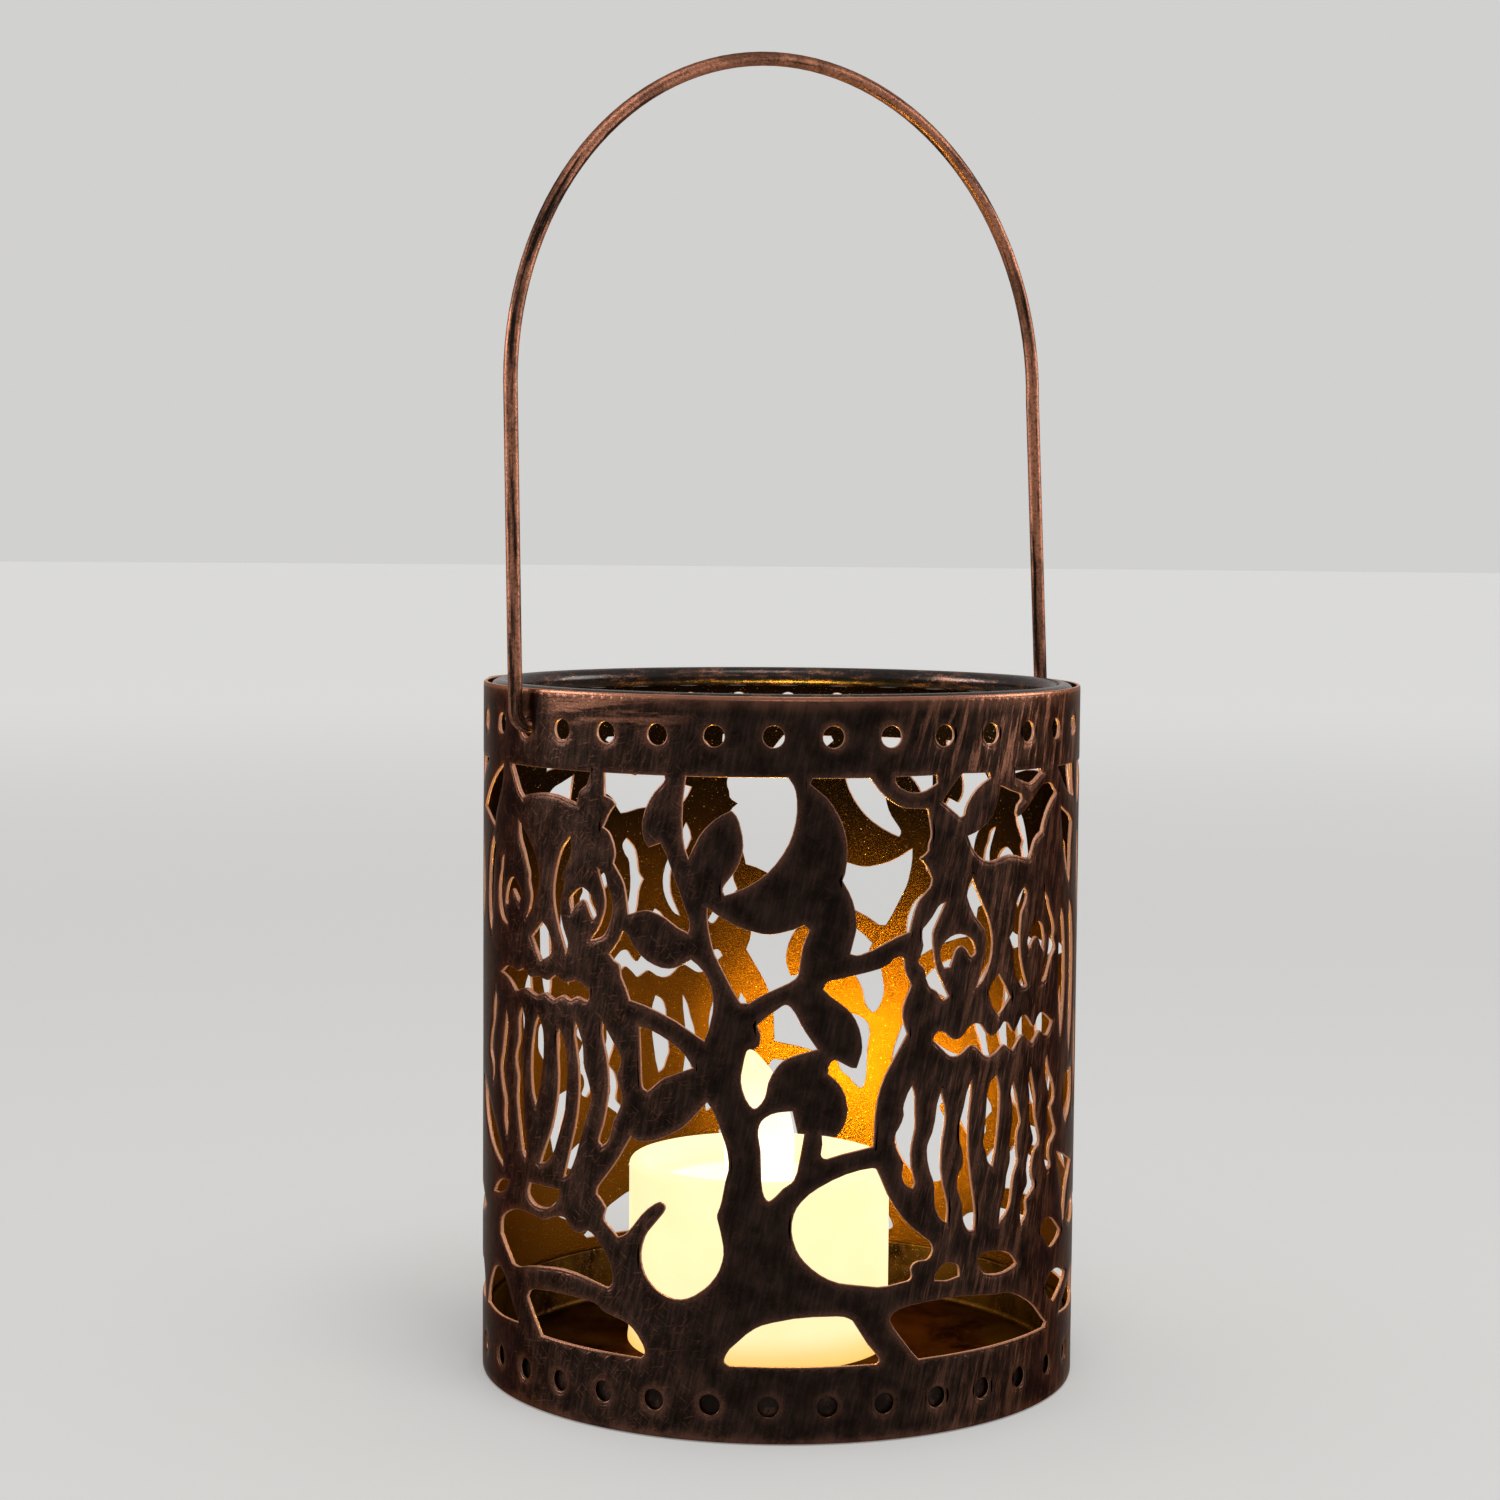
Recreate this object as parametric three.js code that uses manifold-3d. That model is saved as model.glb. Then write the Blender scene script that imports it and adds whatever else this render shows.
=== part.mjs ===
// Pierced sheet-metal lantern with a wire bail and a battery candle inside.
// Millimetres, +Z up. The bail turns about the X axis and the wall stands on z = 0.
import * as THREE from "three";
import Module from "manifold-3d";

const wasm = await Module();
wasm.setup();

// Driving dimensions of the lantern
const diameter = 95;
const wallHeight = 110;
const sheet = 0.65;
const fit = 0.3;
const ringWire = 3.3;
const ringProud = 0.3;
const holeCount = 34;
const holeDiameter = 3.2;
const topRowInset = 5.8;
const bottomRowInset = 5.5;
const bailWire = 2.2;
const bailLeftStandOff = 1.9;
const bailRightStandOff = 6.8;
const bailLeftArchStandOff = 2.9;
const bailRightArchStandOff = 4;
const bailInnerEnd = 3.4;
const bailBend = 2.4;
const bailLegRise = 46.2;
const bailArchRise = 51.8;
const trayThickness = 0.8;
const trayFlange = 9.7;
const trayCorner = 1.7;

// Driving dimensions of the fretwork. Angles are in degrees, seen from above, and 0 faces -Y.
// It fills the wall between two plain bands. The next unit of it starts at the repeat angle,
// and the edges of two units interlock a little. The sheet's ends lap at the seam.
const topBand = 11.5;
const bottomBand = 11.5;
const repeatAngle = 163.68;
const interlockAngle = 6.39;
const treeAzimuth = -36.24;
const seamAzimuth = -140.46;
const seamLap = 4.6;
const seamGap = 0.25;
const seamRise = 6;
const seamMargin = 1.5;
const wallFacets = 45;
const outlineTolerance = 0.32;

// Driving dimensions of the battery candle
const candleX = 2.3;
const candleY = 8.4;
const candleDiameter = 42.7;
const candleHeight = 30.3;
const shellWall = 2.3;
const recessDepth = 4.2;
const flameWidth = 11.8;
const flameTop = 48;
const flameLean = 1.6;
const cellDiameter = 20;
const cellHeight = 3.2;
const ledDiameter = 5;
const switchTravel = 3;

// Sizes that follow from the ones above
const outerRadius = diameter / 2;
const innerRadius = outerRadius - sheet;
const circumference = 2 * Math.PI * outerRadius;
const ringRadius = innerRadius - fit - ringWire / 2;
const ringHeight = wallHeight + ringProud - ringWire / 2;
const pivotHeight = wallHeight - topRowInset;
const trayRadius = innerRadius - fit;
const candleFloor = trayThickness + fit;
const seamStart = arcTo(seamAzimuth - treeAzimuth);
const lapStart = seamStart + circumference;
const seamEnd = lapStart + seamLap;

// Length of wall that an angle spans
function arcTo(degrees) {
  return ((degrees * Math.PI) / 180) * outerRadius;
}


// Every window of one unit, drawn by hand as [u, v] points in mm. u runs round the wall from
// the middle of the tree side, and v is height. A third value of 1 marks a sharp corner, and
// the runs between corners are smooth.
const fretwork = {
  leftOwlCrown: [
    [-49.3, 98.2, 1], [-48, 96.2], [-46.8, 94.5], [-45.5, 93.5, 1], [-43.2, 94.1], [-40, 94.5], [-36.8, 94.4],
    [-34.6, 93.9], [-32.6, 93.4, 1], [-32, 95.2], [-30.6, 96.3], [-29.9, 98.2, 1],
  ],
  gapOwlToTree: [
    [-27.3, 98.2, 1], [-17, 98.2, 1], [-17, 97.5], [-18.9, 95.4], [-20.1, 93.2], [-20.6, 91], [-20.4, 89],
    [-19.5, 87.6, 1], [-17.6, 88.3, 1], [-16.7, 86.7], [-15.8, 84.4], [-14.8, 81.9], [-13.8, 79.3], [-13, 77],
    [-13.2, 75.3, 1], [-15, 76.1], [-16.7, 77.3], [-18.4, 78], [-20.1, 78.3], [-22.9, 77.5, 1], [-23.3, 80.3],
    [-23.9, 82.4], [-25.6, 84.9, 1], [-25.3, 86.8], [-26.2, 89.2], [-27.5, 90.1, 1], [-26.4, 92.2],
    [-25.2, 93.6, 1], [-25.8, 94.3], [-27.2, 94.8, 1],
  ],
  moonHollow: [
    [-13.7, 98.2, 1], [1.5, 98.3, 1], [2.5, 96.6], [2.8, 94.4], [2.6, 91.8], [1.7, 88.8], [0, 86], [-2, 83.9],
    [-4.3, 82.4], [-6.2, 81.5], [-7.7, 81, 1], [-8, 82], [-7.2, 83.2], [-6, 84.8], [-5.2, 86.8], [-5, 88.6],
    [-5.3, 90.6], [-5.9, 92.4], [-6.8, 93.4, 1], [-8.4, 92.6], [-10.1, 91.3], [-11.4, 89.8], [-12.4, 88],
    [-13.2, 86.1, 1], [-13.9, 88], [-14.2, 90.4], [-14.2, 94],
  ],
  skyRight: [
    [5.1, 98.2, 1], [13.6, 98.2, 1], [14.3, 97.4], [15.2, 96.2], [16.8, 94.8], [18.5, 93.9], [20, 93.6],
    [22.9, 93.5, 1], [23.3, 91.8], [23.6, 89.7], [23.2, 88.4], [23, 87.2], [21.6, 86.2, 1], [22.8, 85.1],
    [23.8, 83.1, 1], [23.5, 82], [22.6, 81.1], [21.5, 79.9], [20.7, 78], [20.1, 75.5, 1], [18.2, 74.9],
    [16.2, 73.9], [14, 72.9], [12, 72.3], [10.9, 72.6, 1], [11.4, 74.5], [11.8, 76.5], [11.6, 78.8], [10.9, 81],
    [9.6, 83.3, 1], [10.1, 84.8], [10.3, 87.5], [10, 90], [9.1, 92.5], [7.6, 94.9], [6.1, 96.3], [4.7, 97.4, 1],
  ],
  brow: [
    [17.6, 98.3, 1], [17.7, 97.4], [18.4, 96.7], [19.7, 96.1], [21.2, 95.9], [22.6, 96.2], [24.5, 97.2, 1],
    [24.4, 98.4, 1],
  ],
  leftEarNotch: [
    [25.4, 94.5, 1], [27.2, 93.2], [28.7, 92.1], [29.5, 92.4, 1], [29.8, 93.6], [30.9, 95.2], [32.3, 96.5],
    [34.5, 97.6, 1], [34.2, 98.4, 1], [29, 98.5, 1], [28.2, 97.9], [27, 96.6], [26, 95.5],
  ],
  rightOwlCrown: [
    [36.7, 96.4, 1], [39.2, 95.5], [41.5, 94.9, 1], [41.8, 94.1], [40.8, 93.2], [40.4, 92, 1], [41, 91.5],
    [42.8, 92.4], [44.5, 93.7], [46.2, 95.1], [47.7, 95.9], [49.2, 96.1], [50.6, 95.9], [52.6, 94.4, 1],
    [50.9, 93.4], [49.4, 92], [48.4, 90.5], [47.6, 88.8, 1], [46.5, 88.4], [45.5, 87.6], [44.8, 86.3],
    [43.9, 85.1, 1], [42.6, 85.2], [40.6, 85.7], [38.7, 85.9], [36.7, 85.5], [35, 85.2], [33.6, 85.4],
    [32.1, 86.2], [30.9, 87.6], [30.1, 89.2, 1], [31.2, 89.5], [32.6, 90.1], [34.3, 91.2], [35.5, 92.7],
    [36.1, 94.1],
  ],
  rightEarChip: [
    [40, 98.4, 1], [46.7, 98.4, 1], [47.2, 97.9, 1], [45.6, 97], [44.1, 96.4], [43, 96.5], [41.5, 97],
    [40.1, 97.4, 1],
  ],
  leftOwlLeftCheek: [
    [-47.1, 89.9, 1], [-46.6, 87.3], [-45.4, 85.3], [-44.6, 83.5], [-43.9, 82.1], [-43.9, 80.7], [-43.3, 79],
    [-43.5, 77.3], [-44.3, 75.4, 1], [-43, 76.8], [-41.6, 79.2], [-41.1, 81.2], [-41.5, 83.6], [-42.6, 85.6],
    [-44.3, 87.6],
  ],
  leftOwlRightCheek: [
    [-33.9, 88.4, 1], [-35.7, 86.3], [-36.7, 84.1], [-37.3, 82], [-37.6, 80], [-37.4, 77.8], [-36.6, 75.1],
    [-35.6, 72.7], [-34.7, 70.9, 1], [-34.3, 72.3], [-35.1, 74], [-35.8, 76], [-36, 78.3], [-35.2, 81.2],
    [-35.6, 82.4], [-34.7, 83.9], [-33.9, 85.4], [-33.7, 86.9],
  ],
  leftOwlOuterCheek: [
    [-52.2, 84.1, 1], [-53.2, 83.2], [-53.5, 81.6], [-54.4, 80.1], [-54.7, 78], [-54.1, 75.8], [-52.7, 74],
    [-50.7, 73.4, 1], [-51.9, 75.4], [-53, 77.6], [-53.1, 80.2], [-52.5, 82],
  ],
  leftOwlInnerCheek: [
    [-28.5, 84.1, 1], [-27.1, 83.2], [-26.6, 81.5], [-25.9, 80.1], [-25.6, 78], [-26.2, 75.8], [-27.4, 74],
    [-29.7, 73.3, 1], [-28.4, 74.8], [-27.5, 76.6], [-27, 78.4], [-27.1, 80.2], [-27.7, 82],
  ],
  leftOwlLeftEye: [
    [-46.7, 77.2, 1], [-46.2, 78.8], [-47.2, 80], [-48.8, 80.9], [-50.4, 80], [-51.4, 78.3], [-51.6, 76.9, 1],
    [-50.8, 76.5], [-50.1, 77.6], [-49.6, 78.7], [-48.8, 79.1], [-47.9, 78.5],
  ],
  leftOwlRightEye: [
    [-33.5, 77.2, 1], [-34, 78.8], [-33, 80], [-31.4, 80.9], [-29.8, 80], [-28.8, 78.3], [-28.6, 76.9, 1],
    [-29.4, 76.5], [-30.1, 77.6], [-30.6, 78.7], [-31.4, 79.1], [-32.3, 78.5],
  ],
  leftOwlBeak: [
    [-43.1, 72.4, 1], [-40.2, 74.9, 1], [-38.7, 73.6], [-37.7, 71.1, 1], [-38.5, 70], [-40.6, 69.1, 1],
  ],
  leftOwlCollar: [
    [-53.4, 65.8, 1], [-51.4, 66.8], [-49.5, 67], [-47.4, 66.6], [-45.4, 67.2], [-43.4, 66.2], [-41.2, 66.5],
    [-38.8, 66.2], [-37, 67.1], [-34.9, 66.3], [-32.7, 66.8], [-31, 66.3], [-29.8, 65.4, 1], [-30.3, 64.1],
    [-32.3, 64.5], [-33.7, 63.9], [-35.3, 64.4], [-37.3, 63.6], [-39.3, 64.3], [-41.6, 63.7], [-44.6, 64.4],
    [-47.4, 63.6], [-49.1, 64.6], [-50.8, 65.3],
  ],
  leftOwlSlot1: [
    [-56.1, 62.4, 1], [-57.1, 60.2], [-57.5, 57.4], [-58.9, 55.2], [-59.4, 52.8], [-57.7, 50.6], [-57.6, 48, 1],
    [-56.3, 50.4], [-57.7, 53], [-57.3, 55.4], [-56, 58.4], [-55.5, 61],
  ],
  leftOwlSlot2: [
    [-51.3, 60.2, 1], [-51.8, 57], [-52.6, 54], [-53.7, 51], [-53, 48.4], [-51.8, 46], [-51.9, 43.2],
    [-50.7, 40.7, 1], [-50.3, 43.6], [-50.6, 46.8], [-51.7, 49.6], [-51.8, 51.6], [-50.8, 54.6], [-50.5, 58],
  ],
  leftOwlSlot3: [
    [-45.8, 61.3, 1], [-46.8, 59.4], [-46.8, 56.4], [-47.9, 53.2], [-47.1, 50.4], [-47.4, 47], [-46.6, 43.2],
    [-45.8, 39.8], [-44.5, 38.2, 1], [-44.4, 41], [-45.2, 44.4], [-45.3, 48], [-45.6, 51.4], [-46.2, 53.2],
    [-45.5, 56.4], [-45, 59.4],
  ],
  leftOwlSlot4: [
    [-41.2, 60.6, 1], [-42.2, 58.8], [-43, 55.2], [-43.1, 51.4], [-42.7, 48.6], [-41.7, 46.9, 1],
    [-40.9, 49.2], [-40.2, 52], [-39.8, 55.2], [-40, 58.4],
  ],
  leftOwlSlot5: [
    [-36.1, 59.2, 1], [-36.6, 57.6], [-36.3, 52.4], [-36.6, 48.4], [-37.8, 44], [-39.6, 40.4],
    [-40.6, 38.2, 1], [-39, 38.6], [-37.4, 40.2], [-36.2, 43], [-34.9, 46.6], [-34.5, 50.4], [-34.3, 53.4],
    [-34.9, 56.8],
  ],
  leftOwlSlot6: [
    [-32.6, 60.7, 1], [-32.8, 58.4], [-32, 54.2], [-31.9, 49.6], [-32.6, 45], [-33.9, 40.8],
    [-35, 36.9, 1], [-33.9, 37.6], [-32.6, 40], [-31.5, 43.2], [-30.6, 46], [-29.5, 49.2], [-29.9, 51.6],
    [-30.9, 54.2], [-31.2, 57.4],
  ],
  leftOwlSlot7: [
    [-27.4, 61.2, 1], [-27.4, 59], [-26.5, 55.6], [-26.2, 51.4], [-26.9, 46.8], [-28, 43.4], [-27.3, 42.6, 1],
    [-26.1, 43.8], [-25.3, 46.4], [-24.2, 48.6], [-23.8, 50.4], [-24.7, 53.2], [-24, 55.8], [-25, 57.8],
    [-26.2, 59.4],
  ],
  underWing: [
    [-20.9, 61, 1], [-18.9, 60.6], [-16.7, 59.6], [-14.8, 58.4], [-13.4, 57.1], [-12.3, 55.5, 1], [-15, 54.4],
    [-17, 53.6], [-18.4, 52.4], [-19.5, 51.5, 1], [-20.4, 52.2], [-20.6, 55], [-20.7, 58],
  ],
  overBranchLeft: [
    [-23.8, 75, 1], [-24.8, 73.1], [-26.2, 71.4, 1], [-25.4, 70.5], [-24.4, 69.9], [-24.1, 68.2],
    [-23.2, 66.4], [-22.6, 64.8, 1], [-20.4, 64.3], [-18, 63.5], [-15, 62.2], [-12.6, 60.7], [-10.6, 59.5, 1],
    [-9.8, 61.8], [-9.3, 64.5], [-9.5, 67], [-10.3, 69], [-11.4, 70.4], [-12.7, 71.4, 1], [-15, 70.1],
    [-17, 69.9], [-19, 70.5], [-20.5, 71.4], [-21.9, 72.8], [-22.9, 74.4],
  ],
  wedgeAndPorthole: [
    [-22.2, 44.6, 1], [-23.4, 42.6], [-25.2, 39.9], [-28.1, 36.4], [-28.4, 35.2, 1], [-27.4, 34.3],
    [-26.6, 33.2, 1], [-27, 31.5], [-25.8, 30.4], [-24.5, 29.2, 1], [-23.3, 29.7], [-22.2, 30.7], [-20.4, 33],
    [-18.9, 34.4], [-17.4, 35.2], [-16.5, 34.6], [-16.8, 33.6], [-18.4, 31.7], [-19.7, 30], [-20.4, 27.8],
    [-20.4, 25.9], [-19.6, 23.8], [-17.7, 21.9], [-15, 20.9], [-12.6, 21.3], [-10.1, 23], [-8.4, 25.1],
    [-7.6, 27.3], [-7.5, 29], [-7.9, 31.2], [-8.5, 33.7], [-7.9, 35.6], [-7.4, 38.4], [-6.8, 41], [-7.1, 43.7],
    [-8, 46.2], [-8.9, 48.7], [-10.1, 50.5, 1], [-12.1, 48.2], [-14, 46.4], [-16.5, 45], [-18.6, 44.2],
    [-20.9, 43.9],
  ],
  underMoon: [
    [-10.3, 79.1, 1], [-10.2, 76.6], [-9.4, 73], [-8.2, 70.5], [-7, 68.2], [-5.8, 66.1], [-5.2, 65.3, 1],
    [-4, 65.3, 1], [-1.9, 66.6], [0.1, 67.5], [2.1, 68.5], [3.1, 69.4], [3.4, 71.2], [3.8, 73.6],
    [4.8, 76.1, 1], [4, 76.8, 1], [2.6, 76.2], [0.8, 75.7], [-1.2, 75.4], [-3.2, 75.7], [-5.6, 76.4],
    [-8, 77.6],
  ],
  leafGapLeft: [
    [-2.8, 62, 1], [-2.2, 60.6], [-2.5, 59.1], [-3.2, 58.5, 1], [-4.2, 58.3], [-4.7, 56.6], [-5.1, 54],
    [-4.7, 52], [-3.9, 50.4], [-3.1, 49.8], [-2.3, 50.3], [-1.5, 51.6], [-1.1, 53.6], [-0.3, 55.3], [1.1, 56.9],
    [3.4, 57.9], [6.1, 58.6, 1], [5.2, 59.9], [4.4, 61], [3.6, 62.5], [2.8, 63.9], [2, 64.9], [1.2, 65.1],
    [0.1, 64.4], [-1.4, 63.3],
  ],
  leafGapBelow: [
    [2.5, 49.5, 1], [3, 47.5], [3.3, 46.2, 1], [4.3, 46.1, 1], [3.9, 44], [3.6, 42], [3.2, 40.2], [2.5, 38.9],
    [1.3, 38.1], [0.3, 37], [-0.8, 36.2], [-1.5, 36.8], [-1.9, 38.5], [-2, 41], [-2.1, 43.5], [-2.5, 46.1],
    [-2.1, 47.8], [-1, 48.8], [0.4, 49.3],
  ],
  branchAndLeaves: [
    [6.9, 67.4, 1], [8, 66.4], [10.2, 64.8], [11.4, 63.5], [12.2, 62], [12.7, 60.2], [12.8, 58.2],
    [12, 55.7, 1], [11.1, 55.8], [10.2, 56.3], [8.7, 57], [7.9, 56.3], [7.7, 55, 1], [8.8, 54.1], [9.8, 52.9],
    [10.5, 51.2], [10.7, 49.2], [10.2, 47.2], [9, 45.6, 1], [6.9, 45.9, 1], [7, 44.6], [6.8, 43], [7.5, 42.4],
    [9.3, 42.9], [12, 43.5], [14.7, 44, 1], [14.8, 46.4], [14.9, 48.4], [15.2, 50.6], [15.7, 52.6],
    [16.6, 54.8], [18, 57.2], [19.9, 60.4, 1], [19.5, 61.4], [19.1, 62.8], [19.2, 64.5], [19.8, 66.1],
    [20.5, 67.6, 1], [19.9, 68.7], [19.4, 70], [19.3, 71.3], [18.7, 71.9], [17.6, 71.6], [16.9, 70.9, 1],
    [15, 70.1], [12.6, 69.6], [10.4, 69.1], [8.5, 68.8], [7.4, 68.4],
  ],
  bigPorthole: [
    [14.6, 40.8], [15.3, 40.5], [16, 39], [17.2, 36.4], [18.9, 33.8], [20.5, 32], [22.4, 30.4],
    [23.9, 29.3], [24.6, 28.2], [24.4, 27.1], [23.5, 26.4], [22.3, 26.4], [21.4, 26.1], [20.9, 25.3], [21.1, 24.3],
    [20.6, 23.6], [19.2, 23.4], [17.6, 23.1], [15.6, 23], [13.7, 23.3], [11.8, 23.6], [9.7, 23.9], [7.5, 24.8],
    [5.3, 26.4], [3.6, 28.4], [2.7, 30.8], [2.6, 33], [3.3, 35.2], [5.1, 37.2], [7.5, 38.7], [9.9, 39.8],
    [12.3, 40.5],
  ],
  rightOwlEdgeCheek: [
    [26.2, 79.6, 1], [25, 79.1], [24.1, 77.8], [23.1, 76.6], [22.3, 75.8], [22.2, 74.6], [22.4, 73.2],
    [21.6, 71, 1], [22.7, 69.8], [22.9, 68.5, 1], [23.6, 67.2], [24.8, 66.5], [25.4, 65.6], [26.1, 65.1],
    [26.9, 65.6, 1], [25.7, 67.7], [24.7, 69.8], [24.2, 72.1], [24, 75], [24.6, 76.6], [25.3, 77.8],
  ],
  rightOwlLeftCheek: [
    [31.1, 83, 1], [31.9, 81.2], [33.3, 78.8], [34.5, 76.6], [35.1, 74.9], [35.4, 73.2], [35.2, 71],
    [34.4, 68.9], [33.3, 67.3], [32.1, 66.6, 1], [33, 68.5], [33.8, 70.6], [34, 72.8], [33.8, 74.8],
    [32.9, 75.9], [31.6, 77.3], [30.6, 79], [30.1, 80.3, 1], [30.4, 81.7],
  ],
  rightOwlRightCheek: [
    [42.7, 80.7, 1], [43.5, 79.6], [43.1, 78.2], [42.2, 76.9], [41.9, 74.9], [41.8, 72.6], [42.1, 70.1],
    [42.8, 67.9], [43.8, 65.8, 1], [42.6, 65.6], [41.5, 66.5], [40.7, 67.7], [40.3, 69.4], [40.1, 71.4],
    [39.2, 73.4, 1], [40.1, 74.7], [40.4, 77], [41, 79],
  ],
  rightOwlFarCheek: [
    [48.7, 79.6, 1], [49.9, 78.4], [50.6, 76.9], [51.7, 75.3], [52.5, 73.6], [52.2, 72.1], [52.9, 70.6],
    [51.5, 69.3], [50.5, 67.6], [49.5, 66.2], [48.1, 65.7, 1], [48.8, 67.8], [50.2, 70.2], [50.6, 72.8],
    [50.4, 75], [49.3, 76.8],
  ],
  rightOwlLeftEye: [
    [26.1, 69.9, 1], [25.3, 71.7], [25.7, 73.2], [26.8, 74.2], [28.3, 74.7], [29.8, 74.5], [31, 73.8],
    [31.7, 72.8], [31.9, 71.7], [31.1, 71.2], [30.4, 71.9], [29.8, 72.7], [28.9, 72.9], [28.1, 72.3],
    [27.6, 71.1], [27.1, 69.9, 1],
  ],
  rightOwlRightEye: [
    [44.1, 71.2, 1], [43.8, 72.5], [44.6, 73.7], [45.6, 74.7], [47, 75.1], [48.2, 74.4], [48.8, 73],
    [48.9, 71.8], [48.4, 70.6, 1], [47.7, 71.2], [47.2, 72.2], [46.4, 72.9], [45.5, 72.6], [44.9, 71.9],
  ],
  rightOwlBeak: [
    [36.9, 68.1, 1], [38.3, 66.3], [39.6, 64.3, 1], [38.2, 63], [36.9, 61.9, 1], [35.4, 63.5],
    [34.7, 65.6, 1], [35.6, 67.1],
  ],
  rightOwlCollar: [
    [24.2, 59.3, 1], [25, 60.4], [26.3, 60.2], [27.4, 59.3], [28.6, 59], [29.7, 59.5], [30.7, 60.6],
    [31.9, 61.1], [33.2, 60.8], [34.3, 59.5], [35.6, 58.9], [37, 59.6], [38.1, 60.7], [39.2, 60.4],
    [40.4, 59], [41.4, 59.8], [42.3, 61], [43.6, 61.1], [44.8, 60.1], [45.9, 59.1], [46.9, 60.4], [48.1, 61],
    [49.5, 60.6], [50.7, 59.9], [52.2, 59.2, 1], [51.4, 58.1], [50.1, 57.3], [48.9, 57.5], [47.7, 58.3],
    [46.6, 57.6], [45.4, 56.8], [44.1, 57.4], [42.8, 58.3], [41.6, 57.5], [40.4, 56.3], [39.4, 56.7],
    [38.1, 57.3], [36.5, 56.3], [35, 55.9], [33.7, 56.3], [32.3, 57.6], [31.1, 57.9], [30, 57.2],
    [28.6, 56.5], [27.1, 56.8], [25.6, 58.1],
  ],
  rightOwlSlot1: [
    [20.8, 52.7, 1], [20, 51.4], [19.4, 49.6], [19.5, 48.4], [19, 47], [18.2, 45.7], [18.1, 44.3], [18.7, 42.8],
    [19.5, 41.3], [19.3, 39.6], [19.8, 38.2], [21, 37.4, 1], [21.4, 38.2], [20.8, 40.6], [20.7, 43], [21.1, 45],
    [21.4, 46.6], [21.3, 48.8], [21.3, 51],
  ],
  rightOwlSlot2: [
    [25.8, 51.5, 1], [26.5, 48.8], [26.6, 46.8], [26.2, 44.8], [25.9, 42.4], [25.9, 39.8], [26.3, 37.3],
    [26.9, 35.4], [27.2, 33.6], [27, 31.7, 1], [25.9, 32.5], [25, 34], [24.8, 35.8], [24.8, 37.6], [24, 39.6],
    [23.5, 41.6], [23.5, 43.6], [24.3, 45.4], [24.8, 47.4], [25.1, 49.6],
  ],
  rightOwlSlot3: [
    [31.5, 52.7, 1], [31.4, 50.4], [31, 47.4], [30.9, 44.4], [31, 41.4], [31.5, 38], [32.1, 35], [32.5, 32],
    [32.2, 29.9, 1], [31, 30.2], [30.1, 31.8], [29.8, 34.4], [28.9, 36.6], [29, 38.4], [29.9, 40], [29.9, 42],
    [29.2, 44], [29.2, 46.2], [29.9, 48.4], [30.5, 50.8],
  ],
  rightOwlSlot4: [
    [36.7, 52.8, 1], [37.4, 50.4], [37.4, 47.4], [37.1, 44.6], [36.6, 41.4], [36, 39.1, 1], [35, 39.9],
    [34.5, 41.4], [34, 42.8], [34.3, 45.4], [34.5, 48.2], [34.7, 50.4], [35.4, 52],
  ],
  rightOwlSlot5: [
    [40.6, 51.4, 1], [41.5, 49.2], [42.1, 46.8], [42.6, 45], [41.8, 43.4], [41.7, 41], [42, 39], [41, 37],
    [40.6, 35], [40.2, 32.8], [39.2, 31.4], [37.6, 30.3, 1], [37.9, 32.4], [38.8, 34.6], [39.2, 37.2],
    [40, 39.4], [39.9, 42], [40.4, 44.8], [40.5, 47.4], [40, 49.8],
  ],
  rightOwlSlot6: [
    [45.2, 53.1, 1], [45.9, 50.8], [46.7, 48.2], [46.7, 45.8], [47.4, 43.8], [48.2, 41.2], [46.8, 40],
    [45.9, 37.8], [46, 36], [46.8, 34.6], [45.4, 33.4], [44.4, 32.6], [44.5, 30.6], [43, 29.1, 1],
    [42.8, 31.4], [43.4, 33.6], [44.6, 35.2], [44.3, 37.6], [44.9, 39.8], [46.2, 41.6], [45.4, 43.8],
    [44.9, 46], [45, 48.6], [44.6, 51],
  ],
  rightOwlSlot7: [
    [50.3, 54.2, 1], [51.2, 51.8], [52.9, 49.6], [53.5, 47.4], [52.2, 45.8], [53.2, 43.8], [54.1, 41.8],
    [52.1, 40.2], [51.7, 38.4], [52.3, 36.9], [51, 36.2, 1], [50, 38], [50.3, 40.6], [51.6, 42.2],
    [51, 44.2], [50.7, 46], [51.4, 47.6], [50.3, 49.8], [49.5, 52],
  ],
  leftOwlFootHole: [
    [-43.4, 34.6, 1], [-36, 34.7, 1], [-36.3, 33.2], [-37.8, 31.9], [-39.9, 31.4], [-42.1, 31.6], [-43.9, 32.8],
  ],
  tailWindow: [
    [-53.4, 24.9, 1], [-53, 27.3], [-50.2, 28.9], [-46.8, 29.8], [-43.2, 29.8], [-39.8, 29.5], [-37.2, 30.4],
    [-34.8, 30.6], [-33.2, 29.1], [-31.6, 28.8], [-30.1, 29.4], [-28.7, 28.8], [-27.5, 27.6], [-26.2, 25.9],
    [-25.4, 23.9], [-25.3, 22.2, 1], [-26.4, 21.4], [-30.1, 22.2], [-33.3, 22.7], [-36.5, 22.7], [-40, 22.3],
    [-43.4, 21.7], [-46.6, 20.9], [-48.6, 21, 1], [-51, 23],
  ],
  leftFootWindow: [
    [-40.2, 11.6, 1], [-42.4, 14.4], [-44.1, 16.8, 1], [-42.9, 18.1], [-39.5, 18.7], [-35, 19], [-31, 18.9],
    [-28.4, 18.6], [-26.8, 17.6], [-24.8, 17.1], [-22.8, 16.5], [-21.3, 15.3], [-20, 13.5], [-19.7, 12.3],
    [-20.4, 11.5, 1],
  ],
  middleFootWindow: [
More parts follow.
